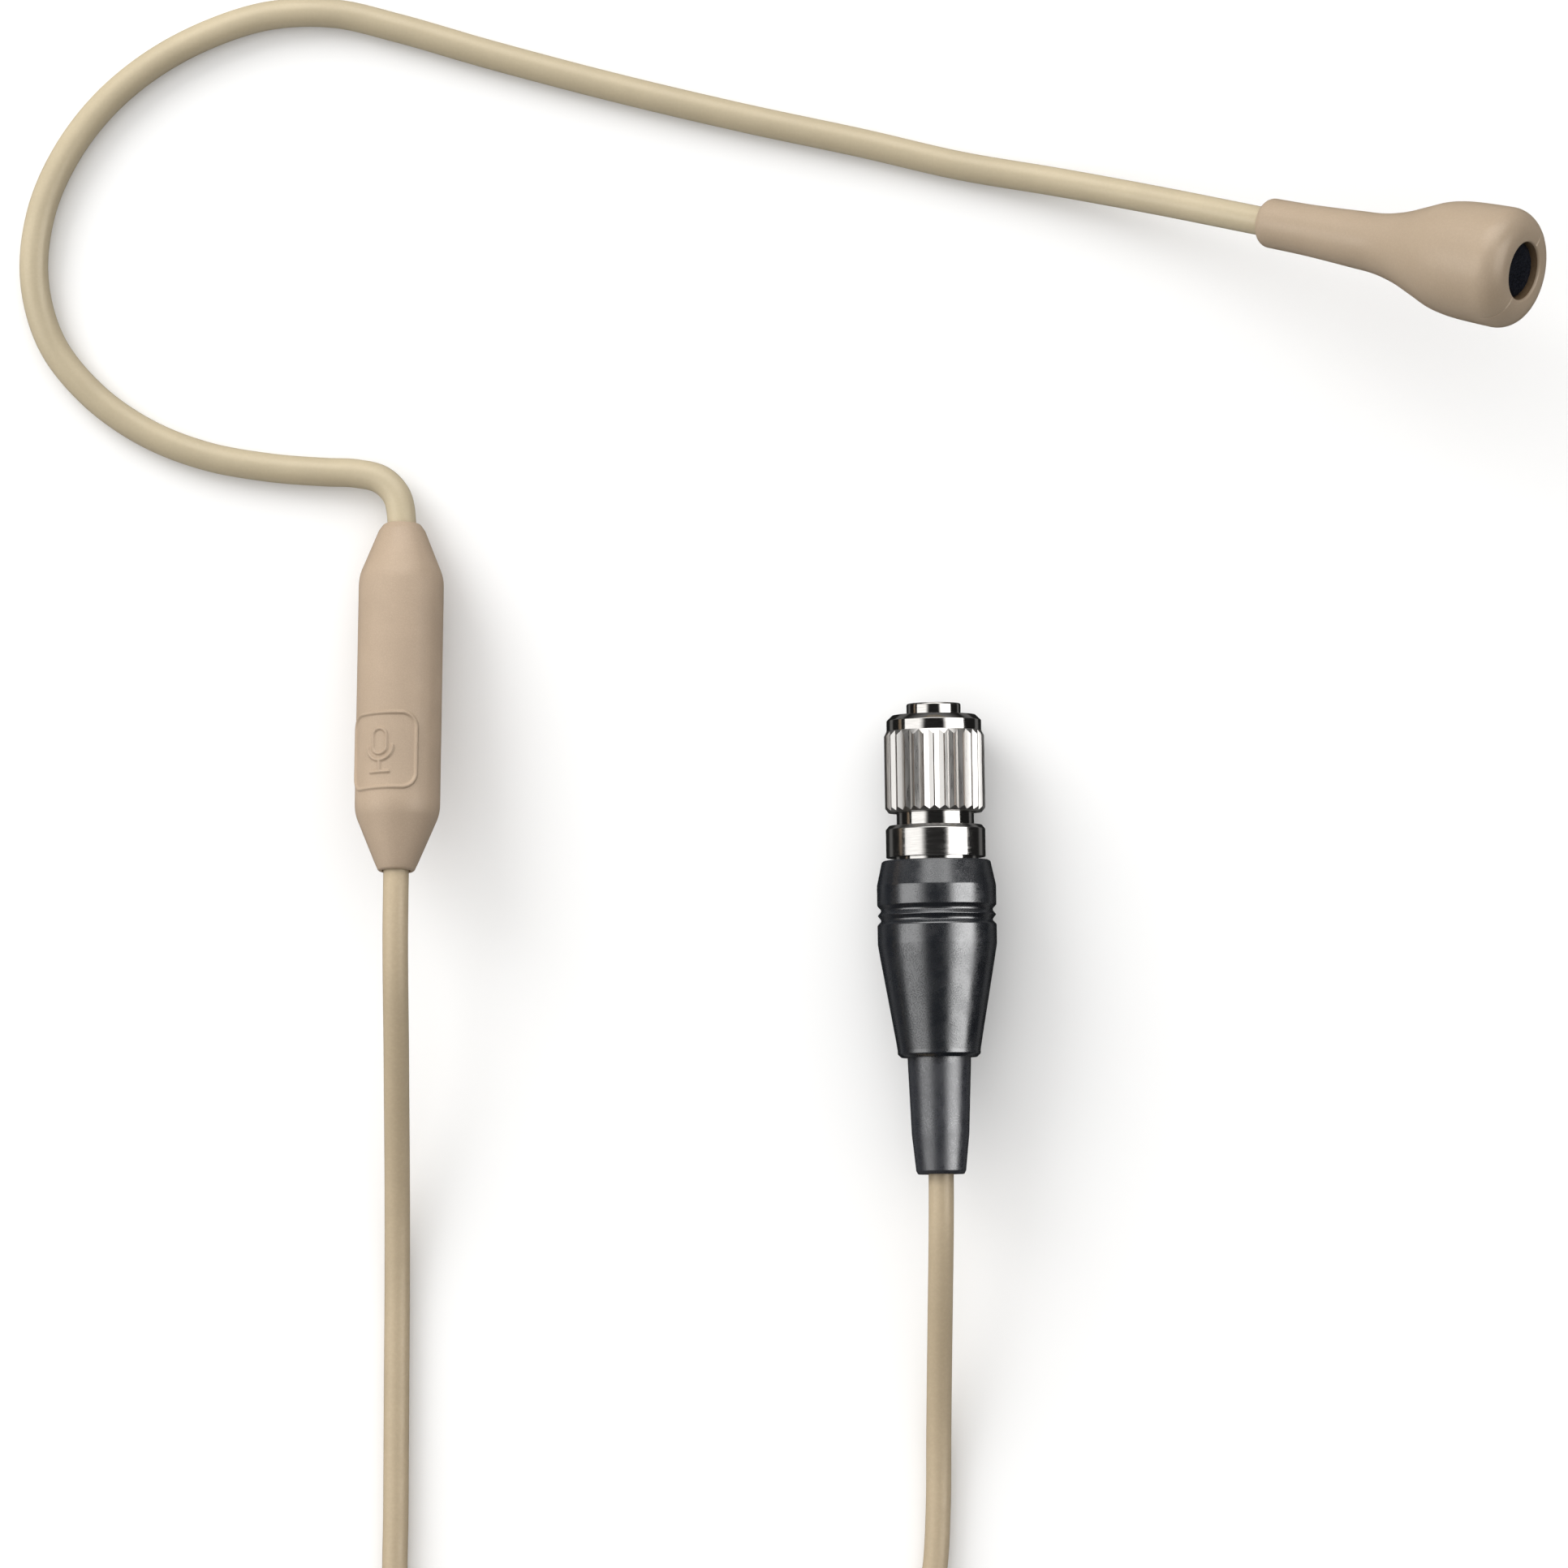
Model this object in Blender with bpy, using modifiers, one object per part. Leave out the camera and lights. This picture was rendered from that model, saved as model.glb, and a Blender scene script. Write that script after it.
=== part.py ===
"""Ear-worn headset microphone: head, flexible boom, ear loop, barrel, cable and locking plug.

Metres, +Z up.  The headset lies on a table: +X runs from the ear loop towards the head,
+Y points away from the cable, and the head is bent up off the table by HEAD_TILT.
"""
from math import ceil, cos, degrees, pi, radians, sin, sqrt

import bmesh
import bpy
from mathutils import Euler, Matrix, Vector

for leftover in list(bpy.data.objects):
    bpy.data.objects.remove(leftover, do_unlink=True)

MM = 0.001
GAP = 0.3 * MM

# Boom: a flexible jacket with a form wire and two leads inside.
BOOM_R = 1.43 * MM
BOOM_BORE_R = 0.95 * MM
FORM_WIRE_R = 0.35 * MM
LEAD_R = 0.20 * MM

# Head (element cover), measured along its own axis from its rear face.
HEAD_REAR = Vector((48.5, 20.8, 11.0)) * MM
HEAD_TILT = radians(32.5)
HEAD_TURN = radians(-13.4)
HEAD_LENGTH = 29.8 * MM
HEAD_FRONT_ROUND = 2.4 * MM
HEAD_REAR_ROUND = 1.0 * MM
SOUND_OPENING_R = 2.87 * MM
CAPSULE_R = 3.4 * MM

# Barrel behind the ear, measured along its own axis from its cable end.  The boom holds its
# cable end up off the table, and it leans on its front shoulder.
BARREL_END = Vector((-37.45, -43.5, 9.87)) * MM
BARREL_PITCH = radians(11.0)
BARREL_TURN = radians(-0.54)
BARREL_LENGTH = 35.2 * MM
BARREL_R = 4.25 * MM

# Cable and the coil that it is put away in.
CABLE_R = 1.27 * MM
COIL_CENTRE = Vector((-10.5, -138.0, 0.0)) * MM
COIL_BASE = 0.9 * MM
COIL_INNER_R = 9.95 * MM
COIL_OUTER_R = 20.45 * MM
COIL_TOP = 10.4 * MM
STRAP_WIDTH = 6.0 * MM
STRAP_THICK = 0.6 * MM

# Plug, measured along its own axis from the cable end of its strain relief.
PLUG_END = Vector((16.6, -73.6, 7.68)) * MM
PLUG_PITCH = radians(3.5)
PLUG_TURN = radians(0.9)
PLUG_LENGTH = 46.85 * MM
NOSE_R = 2.7 * MM
COLLAR_R = 5.0 * MM
COLLAR_BACK = 36.0 * MM
COLLAR_FRONT = 45.7 * MM
COLLAR_TRAVEL = 1.2 * MM
BAND_FRONT = COLLAR_BACK - COLLAR_TRAVEL - 0.1 * MM
FLUTES = 30
FLUTE_DEPTH = 0.36 * MM
CLAW_INNER_R = 2.4 * MM
CLAW_TRAVEL = 0.2 * MM
INSULATOR_R = CLAW_INNER_R - CLAW_TRAVEL - 0.15 * MM

SKIN = (0.48, 0.36, 0.25)
BOOM_SKIN = (0.44, 0.37, 0.26)
CABLE_SKIN = (0.42, 0.34, 0.23)

part = bpy.data.collections.new("headset_microphone")
cutters = bpy.data.collections.new("cutters")
bpy.context.scene.collection.children.link(part)
bpy.context.scene.collection.children.link(cutters)


# ---------------------------------------------------------------- helpers

def material(name, colour, roughness, metallic=0.0):
    """A Principled material with the piece's colour and finish."""
    made = bpy.data.materials.new(name)
    made.use_nodes = True
    shader = made.node_tree.nodes["Principled BSDF"]
    shader.inputs["Base Color"].default_value = (*colour, 1.0)
    shader.inputs["Roughness"].default_value = roughness
    shader.inputs["Metallic"].default_value = metallic
    made.diffuse_color = (*colour, 1.0)
    return made


def add_object(name, data, look=None, parent=None, collection=None):
    """Link data as a named object, under a parent axis where it has one."""
    made = bpy.data.objects.new(name, data)
    (collection or part).objects.link(made)
    made.parent = parent
    if look is not None:
        data.materials.append(material(name, *look))
    return made


def axis_empty(name, location, rotation):
    """An empty whose +Z is the axis of the pieces under it."""
    made = bpy.data.objects.new(name, None)
    part.objects.link(made)
    made.empty_display_size = 0.01
    made.location = location
    made.rotation_euler = rotation
    return made


def turned(name, profile, look=None, parent=None, steps=28, collection=None):
    """Turn (radius, height) points about +Z: down the outer side, then up the bore.

    A profile whose ends are both on the axis makes a solid piece, any other one a hollow piece.
    """
    closed = profile[0][0] > 0.0 or profile[-1][0] > 0.0
    mesh = bpy.data.meshes.new(name)
    shape = bmesh.new()
    points = [shape.verts.new((radius, 0.0, height)) for radius, height in profile]
    for first, second in zip(points, points[1:]):
        shape.edges.new((first, second))
    if closed:
        shape.edges.new((points[-1], points[0]))
    shape.to_mesh(mesh)
    shape.free()
    made = add_object(name, mesh, look, parent, collection)
    spin = made.modifiers.new("Screw", "SCREW")
    spin.axis = "Z"
    spin.angle = 2.0 * pi
    spin.steps = steps
    spin.render_steps = steps
    spin.use_smooth_shade = True
    spin.use_merge_vertices = True
    spin.merge_threshold = 1e-6
    return made


def box(name, size, centre, look=None, parent=None, collection=None, bevel=0.0):
    """A box of a given size about a centre, with its edges broken where asked."""
    mesh = bpy.data.meshes.new(name)
    shape = bmesh.new()
    bmesh.ops.create_cube(shape, size=1.0)
    bmesh.ops.scale(shape, vec=size, verts=shape.verts)
    bmesh.ops.translate(shape, vec=centre, verts=shape.verts)
    shape.to_mesh(mesh)
    shape.free()
    made = add_object(name, mesh, look, parent, collection)
    if bevel:
        edge = made.modifiers.new("Bevel", "BEVEL")
        edge.width = bevel
        edge.segments = 1
    return made


def cylinder(name, radius, low, high, centre=(0.0, 0.0), look=None, parent=None,
             collection=None, segments=16):
    """A solid cylinder along +Z."""
    mesh = bpy.data.meshes.new(name)
    shape = bmesh.new()
    bmesh.ops.create_cone(
        shape, cap_ends=True, segments=segments, radius1=radius, radius2=radius,
        depth=high - low,
    )
    bmesh.ops.translate(
        shape, vec=(centre[0], centre[1], (low + high) / 2.0), verts=shape.verts
    )
    shape.to_mesh(mesh)
    shape.free()
    return add_object(name, mesh, look, parent, collection)


def cutter(made):
    """Mark an object as a cutter."""
    made.hide_render = True
    made.display_type = "WIRE"
    return made


def cut(made, tool, operation="DIFFERENCE"):
    """Cut an object with a tool by a Boolean."""
    change = made.modifiers.new(tool.name, "BOOLEAN")
    change.operation = operation
    change.solver = "EXACT"
    change.object = tool
    return made


def smooth_shading(made, angle=35.0):
    """Shade a mesh smooth, with its hard edges kept."""
    made.data.shade_smooth()
    made.data.set_sharp_from_angle(angle=radians(angle))


def spline_point(before, start, end, after, share):
    """A centripetal Catmull-Rom point between start and end."""
    t0 = 0.0
    t1 = t0 + max((start - before).length, 1e-9) ** 0.5
    t2 = t1 + max((end - start).length, 1e-9) ** 0.5
    t3 = t2 + max((after - end).length, 1e-9) ** 0.5
    t = t1 + (t2 - t1) * share
    a1 = before * ((t1 - t) / (t1 - t0)) + start * ((t - t0) / (t1 - t0))
    a2 = start * ((t2 - t) / (t2 - t1)) + end * ((t - t1) / (t2 - t1))
    a3 = end * ((t3 - t) / (t3 - t2)) + after * ((t - t2) / (t3 - t2))
    b1 = a1 * ((t2 - t) / (t2 - t0)) + a2 * ((t - t0) / (t2 - t0))
    b2 = a2 * ((t3 - t) / (t3 - t1)) + a3 * ((t - t1) / (t3 - t1))
    return b1 * ((t2 - t) / (t2 - t1)) + b2 * ((t - t1) / (t2 - t1))


def smooth_route(points, step=0.25 * MM):
    """Closely spaced points of one smooth curve through the given points."""
    ends = [points[0] * 2.0 - points[1]] + list(points) + [points[-1] * 2.0 - points[-2]]
    route = []
    for index in range(1, len(ends) - 2):
        count = max(2, ceil((ends[index + 1] - ends[index]).length / step))
        for number in range(count):
            route.append(spline_point(*ends[index - 1:index + 3], number / count))
    route.append(ends[-2].copy())
    return route


def thinned(route, longest, turn):
    """Keep a point after each longest distance, or sooner where the route turns."""
    kept = [route[0]]
    used = 0.0
    for before, here, after in zip(route, route[1:], route[2:]):
        first, second = here - before, after - here
        used += first.length / longest + degrees(first.angle(second, 0.0)) / turn
        if used >= 1.0:
            kept.append(here)
            used = 0.0
    if (kept[-1] - route[-1]).length < 0.4 * longest and len(kept) > 2:
        kept.pop()
    return kept + [route[-1]]


def tube_curve(name, points, radius, look=None, parent=None, resolution=2, caps=True):
    """A round tube or wire along a polyline."""
    curve = bpy.data.curves.new(name, "CURVE")
    curve.dimensions = "3D"
    curve.bevel_depth = radius
    curve.bevel_resolution = resolution
    curve.use_fill_caps = caps
    line = curve.splines.new("POLY")
    line.points.add(len(points) - 1)
    for slot, point in zip(line.points, points):
        slot.co = (*point, 1.0)
    return add_object(name, curve, look, parent)


def offset_route(points, aside, up):
    """Points beside a route, by distances across it and above it."""
    moved = []
    for index, point in enumerate(points):
        before = points[max(index - 1, 0)]
        after = points[min(index + 1, len(points) - 1)]
        along = (after - before).normalized()
        across = Vector((0.0, 0.0, 1.0)).cross(along).normalized()
        over = along.cross(across)
        moved.append(point + across * aside + over * up)
    return moved


def arc(centre, radius, start, end, count):
    """(radius, height) points of a quarter round in a profile, from start to end degrees."""
    points = []
    for number in range(count + 1):
        angle = radians(start + (end - start) * number / count)
        points.append((centre[0] + radius * cos(angle), centre[1] + radius * sin(angle)))
    return points


def through(knots, count):
    """(radius, height) points of a smooth profile through (height, radius) knots in mm."""
    points = [Vector((height, radius, 0.0)) for height, radius in knots]
    route = smooth_route(points, step=0.1)
    picked = [route[round(number * (len(route) - 1) / count)] for number in range(count + 1)]
    return [(point.y * MM, point.x * MM) for point in picked]


# ---------------------------------------------------------------- axes of the three groups

head_axis = axis_empty("head_axis", HEAD_REAR, (0.0, pi / 2.0 - HEAD_TILT, HEAD_TURN))
barrel_axis = axis_empty(
    "barrel_axis", BARREL_END, (-pi / 2.0 - BARREL_PITCH, 0.0, BARREL_TURN),
)
plug_axis = axis_empty("plug_axis", PLUG_END, (-pi / 2.0 - PLUG_PITCH, 0.0, PLUG_TURN))
bpy.context.view_layer.update()


def on_axis(empty, height, aside=0.0, up=0.0):
    """The world point at a height on a group's axis."""
    return empty.matrix_world @ Vector((aside, up, height))


# ---------------------------------------------------------------- head

HEAD_KNOTS = (
    (1.0, 2.46), (5.4, 2.55), (10.5, 2.82), (13.5, 3.03), (16.0, 3.60), (18.4, 4.50),
    (20.5, 5.30), (22.6, 5.70), (25.3, 5.87), (27.4, 5.93),
)
flank = through(HEAD_KNOTS, 12)
front_round = arc(
    (5.93 * MM - HEAD_FRONT_ROUND, HEAD_LENGTH - HEAD_FRONT_ROUND), HEAD_FRONT_ROUND, 67.5, 22.5, 2
)
rear_round = arc((2.46 * MM - HEAD_REAR_ROUND, HEAD_REAR_ROUND), HEAD_REAR_ROUND, -30.0, -90.0, 2)
head_bore = [
    (1.70 * MM, 1.0 * MM), (2.00 * MM, 1.1 * MM), (2.05 * MM, 10.0 * MM),
    (2.60 * MM, 16.0 * MM), (3.30 * MM, 20.0 * MM), (4.30 * MM, 20.1 * MM),
    (4.30 * MM, 27.2 * MM), (SOUND_OPENING_R, 27.3 * MM),
    (SOUND_OPENING_R, HEAD_LENGTH - 0.2 * MM), (SOUND_OPENING_R + 0.2 * MM, HEAD_LENGTH),
]
element_cover = turned(
    "element_cover",
    front_round + flank[::-1] + rear_round + [(1.70 * MM, 0.0)] + head_bore,
    (SKIN, 0.55), head_axis, steps=24,
)

foam_windscreen = turned(
    "foam_windscreen",
    [(0.0, 28.9 * MM), (2.3 * MM, 28.8 * MM), (2.6 * MM, 28.4 * MM), (2.6 * MM, 26.9 * MM),
     (4.0 * MM, 26.8 * MM), (4.0 * MM, 24.9 * MM), (0.0, 24.9 * MM)],
    ((0.012, 0.012, 0.015), 0.95), head_axis, steps=24,
)
capsule_can = turned(
    "capsule_can",
    [(CAPSULE_R, 24.4 * MM), (CAPSULE_R, 20.6 * MM), (CAPSULE_R - 0.25 * MM, 20.6 * MM),
     (CAPSULE_R - 0.25 * MM, 24.15 * MM), (1.0 * MM, 24.15 * MM), (1.0 * MM, 24.4 * MM)],
    ((0.60, 0.60, 0.60), 0.3, 1.0), head_axis, steps=24,
)
capsule_seat = turned(
    "capsule_seat",
    [(4.1 * MM, 24.6 * MM), (4.1 * MM, 20.3 * MM), (3.6 * MM, 20.3 * MM), (3.6 * MM, 24.6 * MM)],
    ((0.03, 0.03, 0.03), 0.8), head_axis, steps=24,
)
diaphragm_ring = turned(
    "diaphragm_ring",
    [(2.95 * MM, 23.95 * MM), (2.95 * MM, 23.65 * MM), (2.4 * MM, 23.65 * MM),
     (2.4 * MM, 23.95 * MM)],
    ((0.70, 0.52, 0.22), 0.3, 1.0), head_axis, steps=24,
)
diaphragm = cylinder(
    "diaphragm", 2.95 * MM, 23.35 * MM, 23.5 * MM, look=((0.75, 0.62, 0.30), 0.2, 1.0),
    parent=head_axis, segments=24,
)
backplate = cylinder(
    "backplate", 2.2 * MM, 22.65 * MM, 23.15 * MM, look=((0.55, 0.55, 0.56), 0.35, 1.0),
    parent=head_axis, segments=24,
)
for number in range(4):
    turn = radians(45.0 + 90.0 * number)
    hole = cylinder(
        f"backplate_hole_{number + 1}", 0.3 * MM, 22.0 * MM, 24.0 * MM,
        (1.2 * MM * cos(turn), 1.2 * MM * sin(turn)), parent=head_axis,
        collection=cutters, segments=8,
    )
    cut(backplate, cutter(hole))
capsule_insulator = turned(
    "capsule_insulator",
    [(2.95 * MM, 23.2 * MM), (2.95 * MM, 21.7 * MM), (2.35 * MM, 21.7 * MM),
     (2.35 * MM, 23.2 * MM)],
    ((0.75, 0.73, 0.68), 0.5), head_axis, steps=24,
)
capsule_board = cylinder(
    "capsule_board", 2.95 * MM, 20.9 * MM, 21.4 * MM, look=((0.03, 0.16, 0.07), 0.45),
    parent=head_axis, segments=24,
)
capsule_transistor = box(
    "capsule_transistor", (1.6 * MM, 1.2 * MM, 0.6 * MM), (0.0, 0.0, 21.95 * MM),
    ((0.02, 0.02, 0.02), 0.5), head_axis,
)
head_ferrule = turned(
    "head_ferrule",
    [(1.85 * MM, 8.6 * MM), (1.85 * MM, 1.4 * MM), (1.62 * MM, 1.4 * MM), (1.62 * MM, 8.6 * MM)],
    ((0.62, 0.62, 0.62), 0.3, 1.0), head_axis, steps=16,
)

# ---------------------------------------------------------------- boom and ear loop

# Way points of the boom's centre line on the table, in mm: out of the barrel, back round the
# ear loop, and forward to where the boom starts to rise.
EAR_LOOP = (
    (-37.65, -6.15, 2.75), (-39.25, -4.45, 2.35), (-41.8, -3.8, 1.9), (-45.0, -3.65, 1.6),
    (-50.5, -3.2, 1.45), (-57.0, -2.0, 1.45), (-63.0, 0.4, 1.45), (-68.3, 4.2, 1.45),
    (-72.3, 9.3, 1.45), (-74.0, 15.7, 1.45), (-73.3, 22.3, 1.45), (-70.8, 28.1, 1.45),
    (-67.0, 33.1, 1.45), (-62.2, 37.1, 1.45), (-56.6, 40.1, 1.45), (-50.5, 42.0, 1.45),
    (-44.0, 42.2, 1.45), (-37.8, 40.8, 1.45), (-28.4, 38.1, 1.45), (-15.9, 34.8, 1.45),
    (-3.2, 31.8, 1.45), (9.0, 29.2, 1.45), (18.5, 27.0, 1.52),
)

flat_way = [Vector(point) * MM for point in EAR_LOOP]
rise_way = []
for share in (1.0 / 3.0, 2.0 / 3.0):
    low = flat_way[-1]
    lift = (HEAD_REAR.z - low.z) * share ** 2
    rise_way.append(Vector((
        low.x + (HEAD_REAR.x - low.x) * share,
        low.y + (HEAD_REAR.y - low.y) * share + 0.35 * MM * sin(pi * share),
        low.z + lift,
    )))
boom_way = (
    [on_axis(barrel_axis, 29.6 * MM), on_axis(barrel_axis, 32.6 * MM),
     on_axis(barrel_axis, BARREL_LENGTH - 0.4 * MM)]
    + flat_way + rise_way
    + [on_axis(head_axis, -0.5 * MM), on_axis(head_axis, 4.0 * MM), on_axis(head_axis, 8.8 * MM)]
)
boom_route = thinned(smooth_route(boom_way), 10.0 * MM, 14.0)

jacket_curve = tube_curve("boom_jacket_curve", boom_route, BOOM_R, resolution=3, caps=False)
bpy.context.view_layer.update()
jacket_mesh = bpy.data.meshes.new_from_object(
    jacket_curve.evaluated_get(bpy.context.evaluated_depsgraph_get())
)
bpy.data.objects.remove(jacket_curve, do_unlink=True)
boom_jacket = add_object("boom_jacket", jacket_mesh, (BOOM_SKIN, 0.42))
wall = boom_jacket.modifiers.new("Solidify", "SOLIDIFY")
wall.thickness = BOOM_R - BOOM_BORE_R
wall.offset = -1.0
wall.use_even_offset = False
smooth_shading(boom_jacket, 50.0)

boom_form_wire = tube_curve(
    "boom_form_wire", offset_route(boom_route, 0.0, -0.40 * MM), FORM_WIRE_R,
    ((0.45, 0.45, 0.46), 0.35, 1.0), resolution=1,
)
lead_tail = [on_axis(head_axis, 12.0 * MM), on_axis(head_axis, 16.0 * MM),
             on_axis(head_axis, 20.55 * MM)]
lead_start = [on_axis(barrel_axis, 27.6 * MM)]
for number, side, colour in ((1, 0.34 * MM, (0.5, 0.02, 0.02)), (2, -0.34 * MM, (0.8, 0.8, 0.8))):
    tube_curve(
        f"boom_lead_{number}", offset_route(lead_start + boom_route + lead_tail, side, 0.38 * MM),
        LEAD_R, (colour, 0.5), resolution=1,
    )

# ---------------------------------------------------------------- barrel

barrel_cover = turned(
    "barrel_cover",
    [(1.75 * MM, BARREL_LENGTH), (2.1 * MM, 35.05 * MM), (2.35 * MM, 34.5 * MM),
     (4.1 * MM, 30.0 * MM), (BARREL_R, 29.2 * MM), (BARREL_R, 6.4 * MM), (4.1 * MM, 5.7 * MM),
     (2.25 * MM, 1.0 * MM), (1.95 * MM, 0.25 * MM), (1.6 * MM, 0.0), (1.6 * MM, 1.2 * MM),
     (3.6 * MM, 6.4 * MM), (3.6 * MM, 29.2 * MM), (1.75 * MM, 34.2 * MM)],
    (SKIN, 0.5), barrel_axis,
)
barrel_screen = turned(
    "barrel_screen",
    [(3.35 * MM, 28.5 * MM), (3.35 * MM, 7.2 * MM), (3.1 * MM, 7.2 * MM), (3.1 * MM, 28.5 * MM)],
    ((0.60, 0.60, 0.58), 0.35, 1.0), barrel_axis, steps=24,
)
boom_ferrule = turned(
    "boom_ferrule",
    [(1.95 * MM, 32.2 * MM), (1.95 * MM, 30.0 * MM), (2.7 * MM, 29.9 * MM), (2.7 * MM, 29.1 * MM),
     (1.65 * MM, 29.1 * MM), (1.65 * MM, 32.2 * MM)],
    ((0.70, 0.58, 0.28), 0.35, 1.0), barrel_axis, steps=20,
)
cable_ferrule = turned(
    "cable_ferrule",
    [(2.7 * MM, 6.8 * MM), (2.7 * MM, 6.0 * MM), (1.95 * MM, 5.9 * MM), (1.95 * MM, 3.4 * MM),
     (1.5 * MM, 3.4 * MM), (1.5 * MM, 6.8 * MM)],
    ((0.70, 0.58, 0.28), 0.35, 1.0), barrel_axis, steps=20,
)
junction_board = box(
    "junction_board", (4.8 * MM, 0.7 * MM, 17.0 * MM), (0.0, 0.0, 18.4 * MM),
    ((0.03, 0.16, 0.07), 0.45), barrel_axis,
)
for number, height in ((1, 14.0 * MM), (2, 20.5 * MM)):
    box(
        f"filter_capacitor_{number}", (2.0 * MM, 1.1 * MM, 1.25 * MM), (0.0, -1.2 * MM, height),
        ((0.45, 0.36, 0.24), 0.5), barrel_axis,
    )
bias_resistor = box(
    "bias_resistor", (1.6 * MM, 0.6 * MM, 0.8 * MM), (0.0, 0.95 * MM, 17.0 * MM),
    ((0.03, 0.03, 0.03), 0.5), barrel_axis,
)
for number, aside, colour in ((1, 0.45 * MM, (0.5, 0.02, 0.02)), (2, -0.45 * MM, (0.8, 0.8, 0.8))):
    core = [on_axis(barrel_axis, height, aside * share)
            for height, share in ((5.6 * MM, 1.0), (7.0 * MM, 1.4), (9.6 * MM, 2.6))]
    tube_curve(f"barrel_core_{number}", core, 0.25 * MM, (colour, 0.5), resolution=1)

# ---------------------------------------------------------------- plug

METAL = ((0.58, 0.57, 0.55), 0.22, 1.0)
DARK_RUBBER = ((0.045, 0.047, 0.055), 0.6)

rear_shell = turned(
    "rear_shell",
    [(2.95 * MM, 38.5 * MM), (3.7 * MM, 38.5 * MM), (3.85 * MM, 38.3 * MM), (3.85 * MM, 37.8 * MM),
     (3.45 * MM, 37.8 * MM), (3.45 * MM, 37.0 * MM), (3.85 * MM, 37.0 * MM), (3.85 * MM, BAND_FRONT),
     (4.6 * MM, BAND_FRONT), (4.95 * MM, BAND_FRONT - 0.35 * MM), (4.95 * MM, 31.5 * MM),
     (4.2 * MM, 31.5 * MM),
     (4.2 * MM, 21.5 * MM), (2.95 * MM, 21.5 * MM)],
    METAL, plug_axis,
)

plug_nose = turned(
    "plug_nose",
    [(2.35 * MM, PLUG_LENGTH), (2.5 * MM, PLUG_LENGTH), (NOSE_R, PLUG_LENGTH - 0.2 * MM),
     (NOSE_R, 32.6 * MM), (2.25 * MM, 32.6 * MM), (2.25 * MM, PLUG_LENGTH - 0.1 * MM)],
    METAL, plug_axis,
)
key_slot = box(
    "key_slot", (0.9 * MM, 1.2 * MM, 2.4 * MM), (0.0, 2.5 * MM, PLUG_LENGTH),
    parent=plug_axis, collection=cutters,
)
cut(plug_nose, cutter(key_slot))
claw_windows = box(
    "claw_windows", (7.0 * MM, 1.3 * MM, 1.3 * MM), (0.0, 0.0, 44.25 * MM),
    parent=plug_axis, collection=cutters,
)
cut(plug_nose, cutter(claw_windows))

plug_insulator = cylinder(
    "plug_insulator", INSULATOR_R, 36.4 * MM, 45.6 * MM, look=((0.02, 0.02, 0.022), 0.5),
    parent=plug_axis, segments=24,
)
for number in range(4):
    turn = radians(45.0 + 90.0 * number)
    spot = (1.1 * MM * cos(turn), 1.1 * MM * sin(turn))
    hole = cylinder(
        f"contact_hole_{number + 1}", 0.42 * MM, 36.0 * MM, 46.0 * MM, spot, parent=plug_axis,
        collection=cutters, segments=10,
    )
    cut(plug_insulator, cutter(hole))
    contact = turned(
        f"contact_pin_{number + 1}",
        [(0.0, 46.3 * MM), (0.17 * MM, 46.2 * MM), (0.28 * MM, 45.9 * MM), (0.28 * MM, 36.1 * MM),
         (0.45 * MM, 36.1 * MM), (0.45 * MM, 33.9 * MM), (0.0, 33.9 * MM)],
        ((0.80, 0.60, 0.22), 0.25, 1.0), plug_axis, steps=10,
    )
    contact.location = (spot[0], spot[1], 0.0)
    core = [on_axis(plug_axis, height, spot[0] * share, spot[1] * share)
            for height, share in ((22.6 * MM, 0.5), (26.5 * MM, 0.8), (33.6 * MM, 1.0))]
    tube_curve(
        f"plug_core_{number + 1}", core, 0.25 * MM,
        (((0.5, 0.02, 0.02), (0.8, 0.8, 0.8), (0.7, 0.5, 0.05), (0.02, 0.02, 0.02))[number], 0.5),
        resolution=1,
    )

coupling_collar = turned(
    "coupling_collar",
    [(2.95 * MM, COLLAR_FRONT), (4.15 * MM, COLLAR_FRONT), (4.7 * MM, 45.15 * MM),
     (4.7 * MM, 44.15 * MM), (COLLAR_R, 43.6 * MM), (COLLAR_R, 36.4 * MM),
     (4.65 * MM, COLLAR_BACK), (3.98 * MM, COLLAR_BACK), (3.98 * MM, 36.8 * MM),
     (4.2 * MM, 36.9 * MM), (4.2 * MM, 43.0 * MM), (2.95 * MM, 43.0 * MM)],
    METAL, plug_axis, steps=FLUTES,
)
flutes_mesh = bpy.data.meshes.new("flutes")
flutes = bmesh.new()
for number in range(FLUTES):
    turn = 2.0 * pi * number / FLUTES
    bmesh.ops.create_cone(
        flutes, cap_ends=True, segments=3, radius1=0.6 * MM, radius2=0.6 * MM, depth=8.55 * MM,
        matrix=Matrix.Rotation(turn, 4, "Z")
        @ Matrix.Translation((COLLAR_R - FLUTE_DEPTH + 0.6 * MM, 0.0, 39.725 * MM))
        @ Matrix.Rotation(pi / 2.0, 4, "Z"),
    )
flutes.to_mesh(flutes_mesh)
flutes.free()
flute_tool = add_object("flutes", flutes_mesh, parent=plug_axis, collection=cutters)
cut(coupling_collar, cutter(flute_tool))

for number, side in ((1, 1.0), (2, -1.0)):
    box(
        f"latch_claw_{number}", (0.4 * MM, 1.0 * MM, 1.0 * MM),
        (side * (CLAW_INNER_R + 0.2 * MM), 0.0, 44.25 * MM),
        ((0.55, 0.55, 0.55), 0.3, 1.0), plug_axis, bevel=0.08 * MM,
    )

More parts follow.
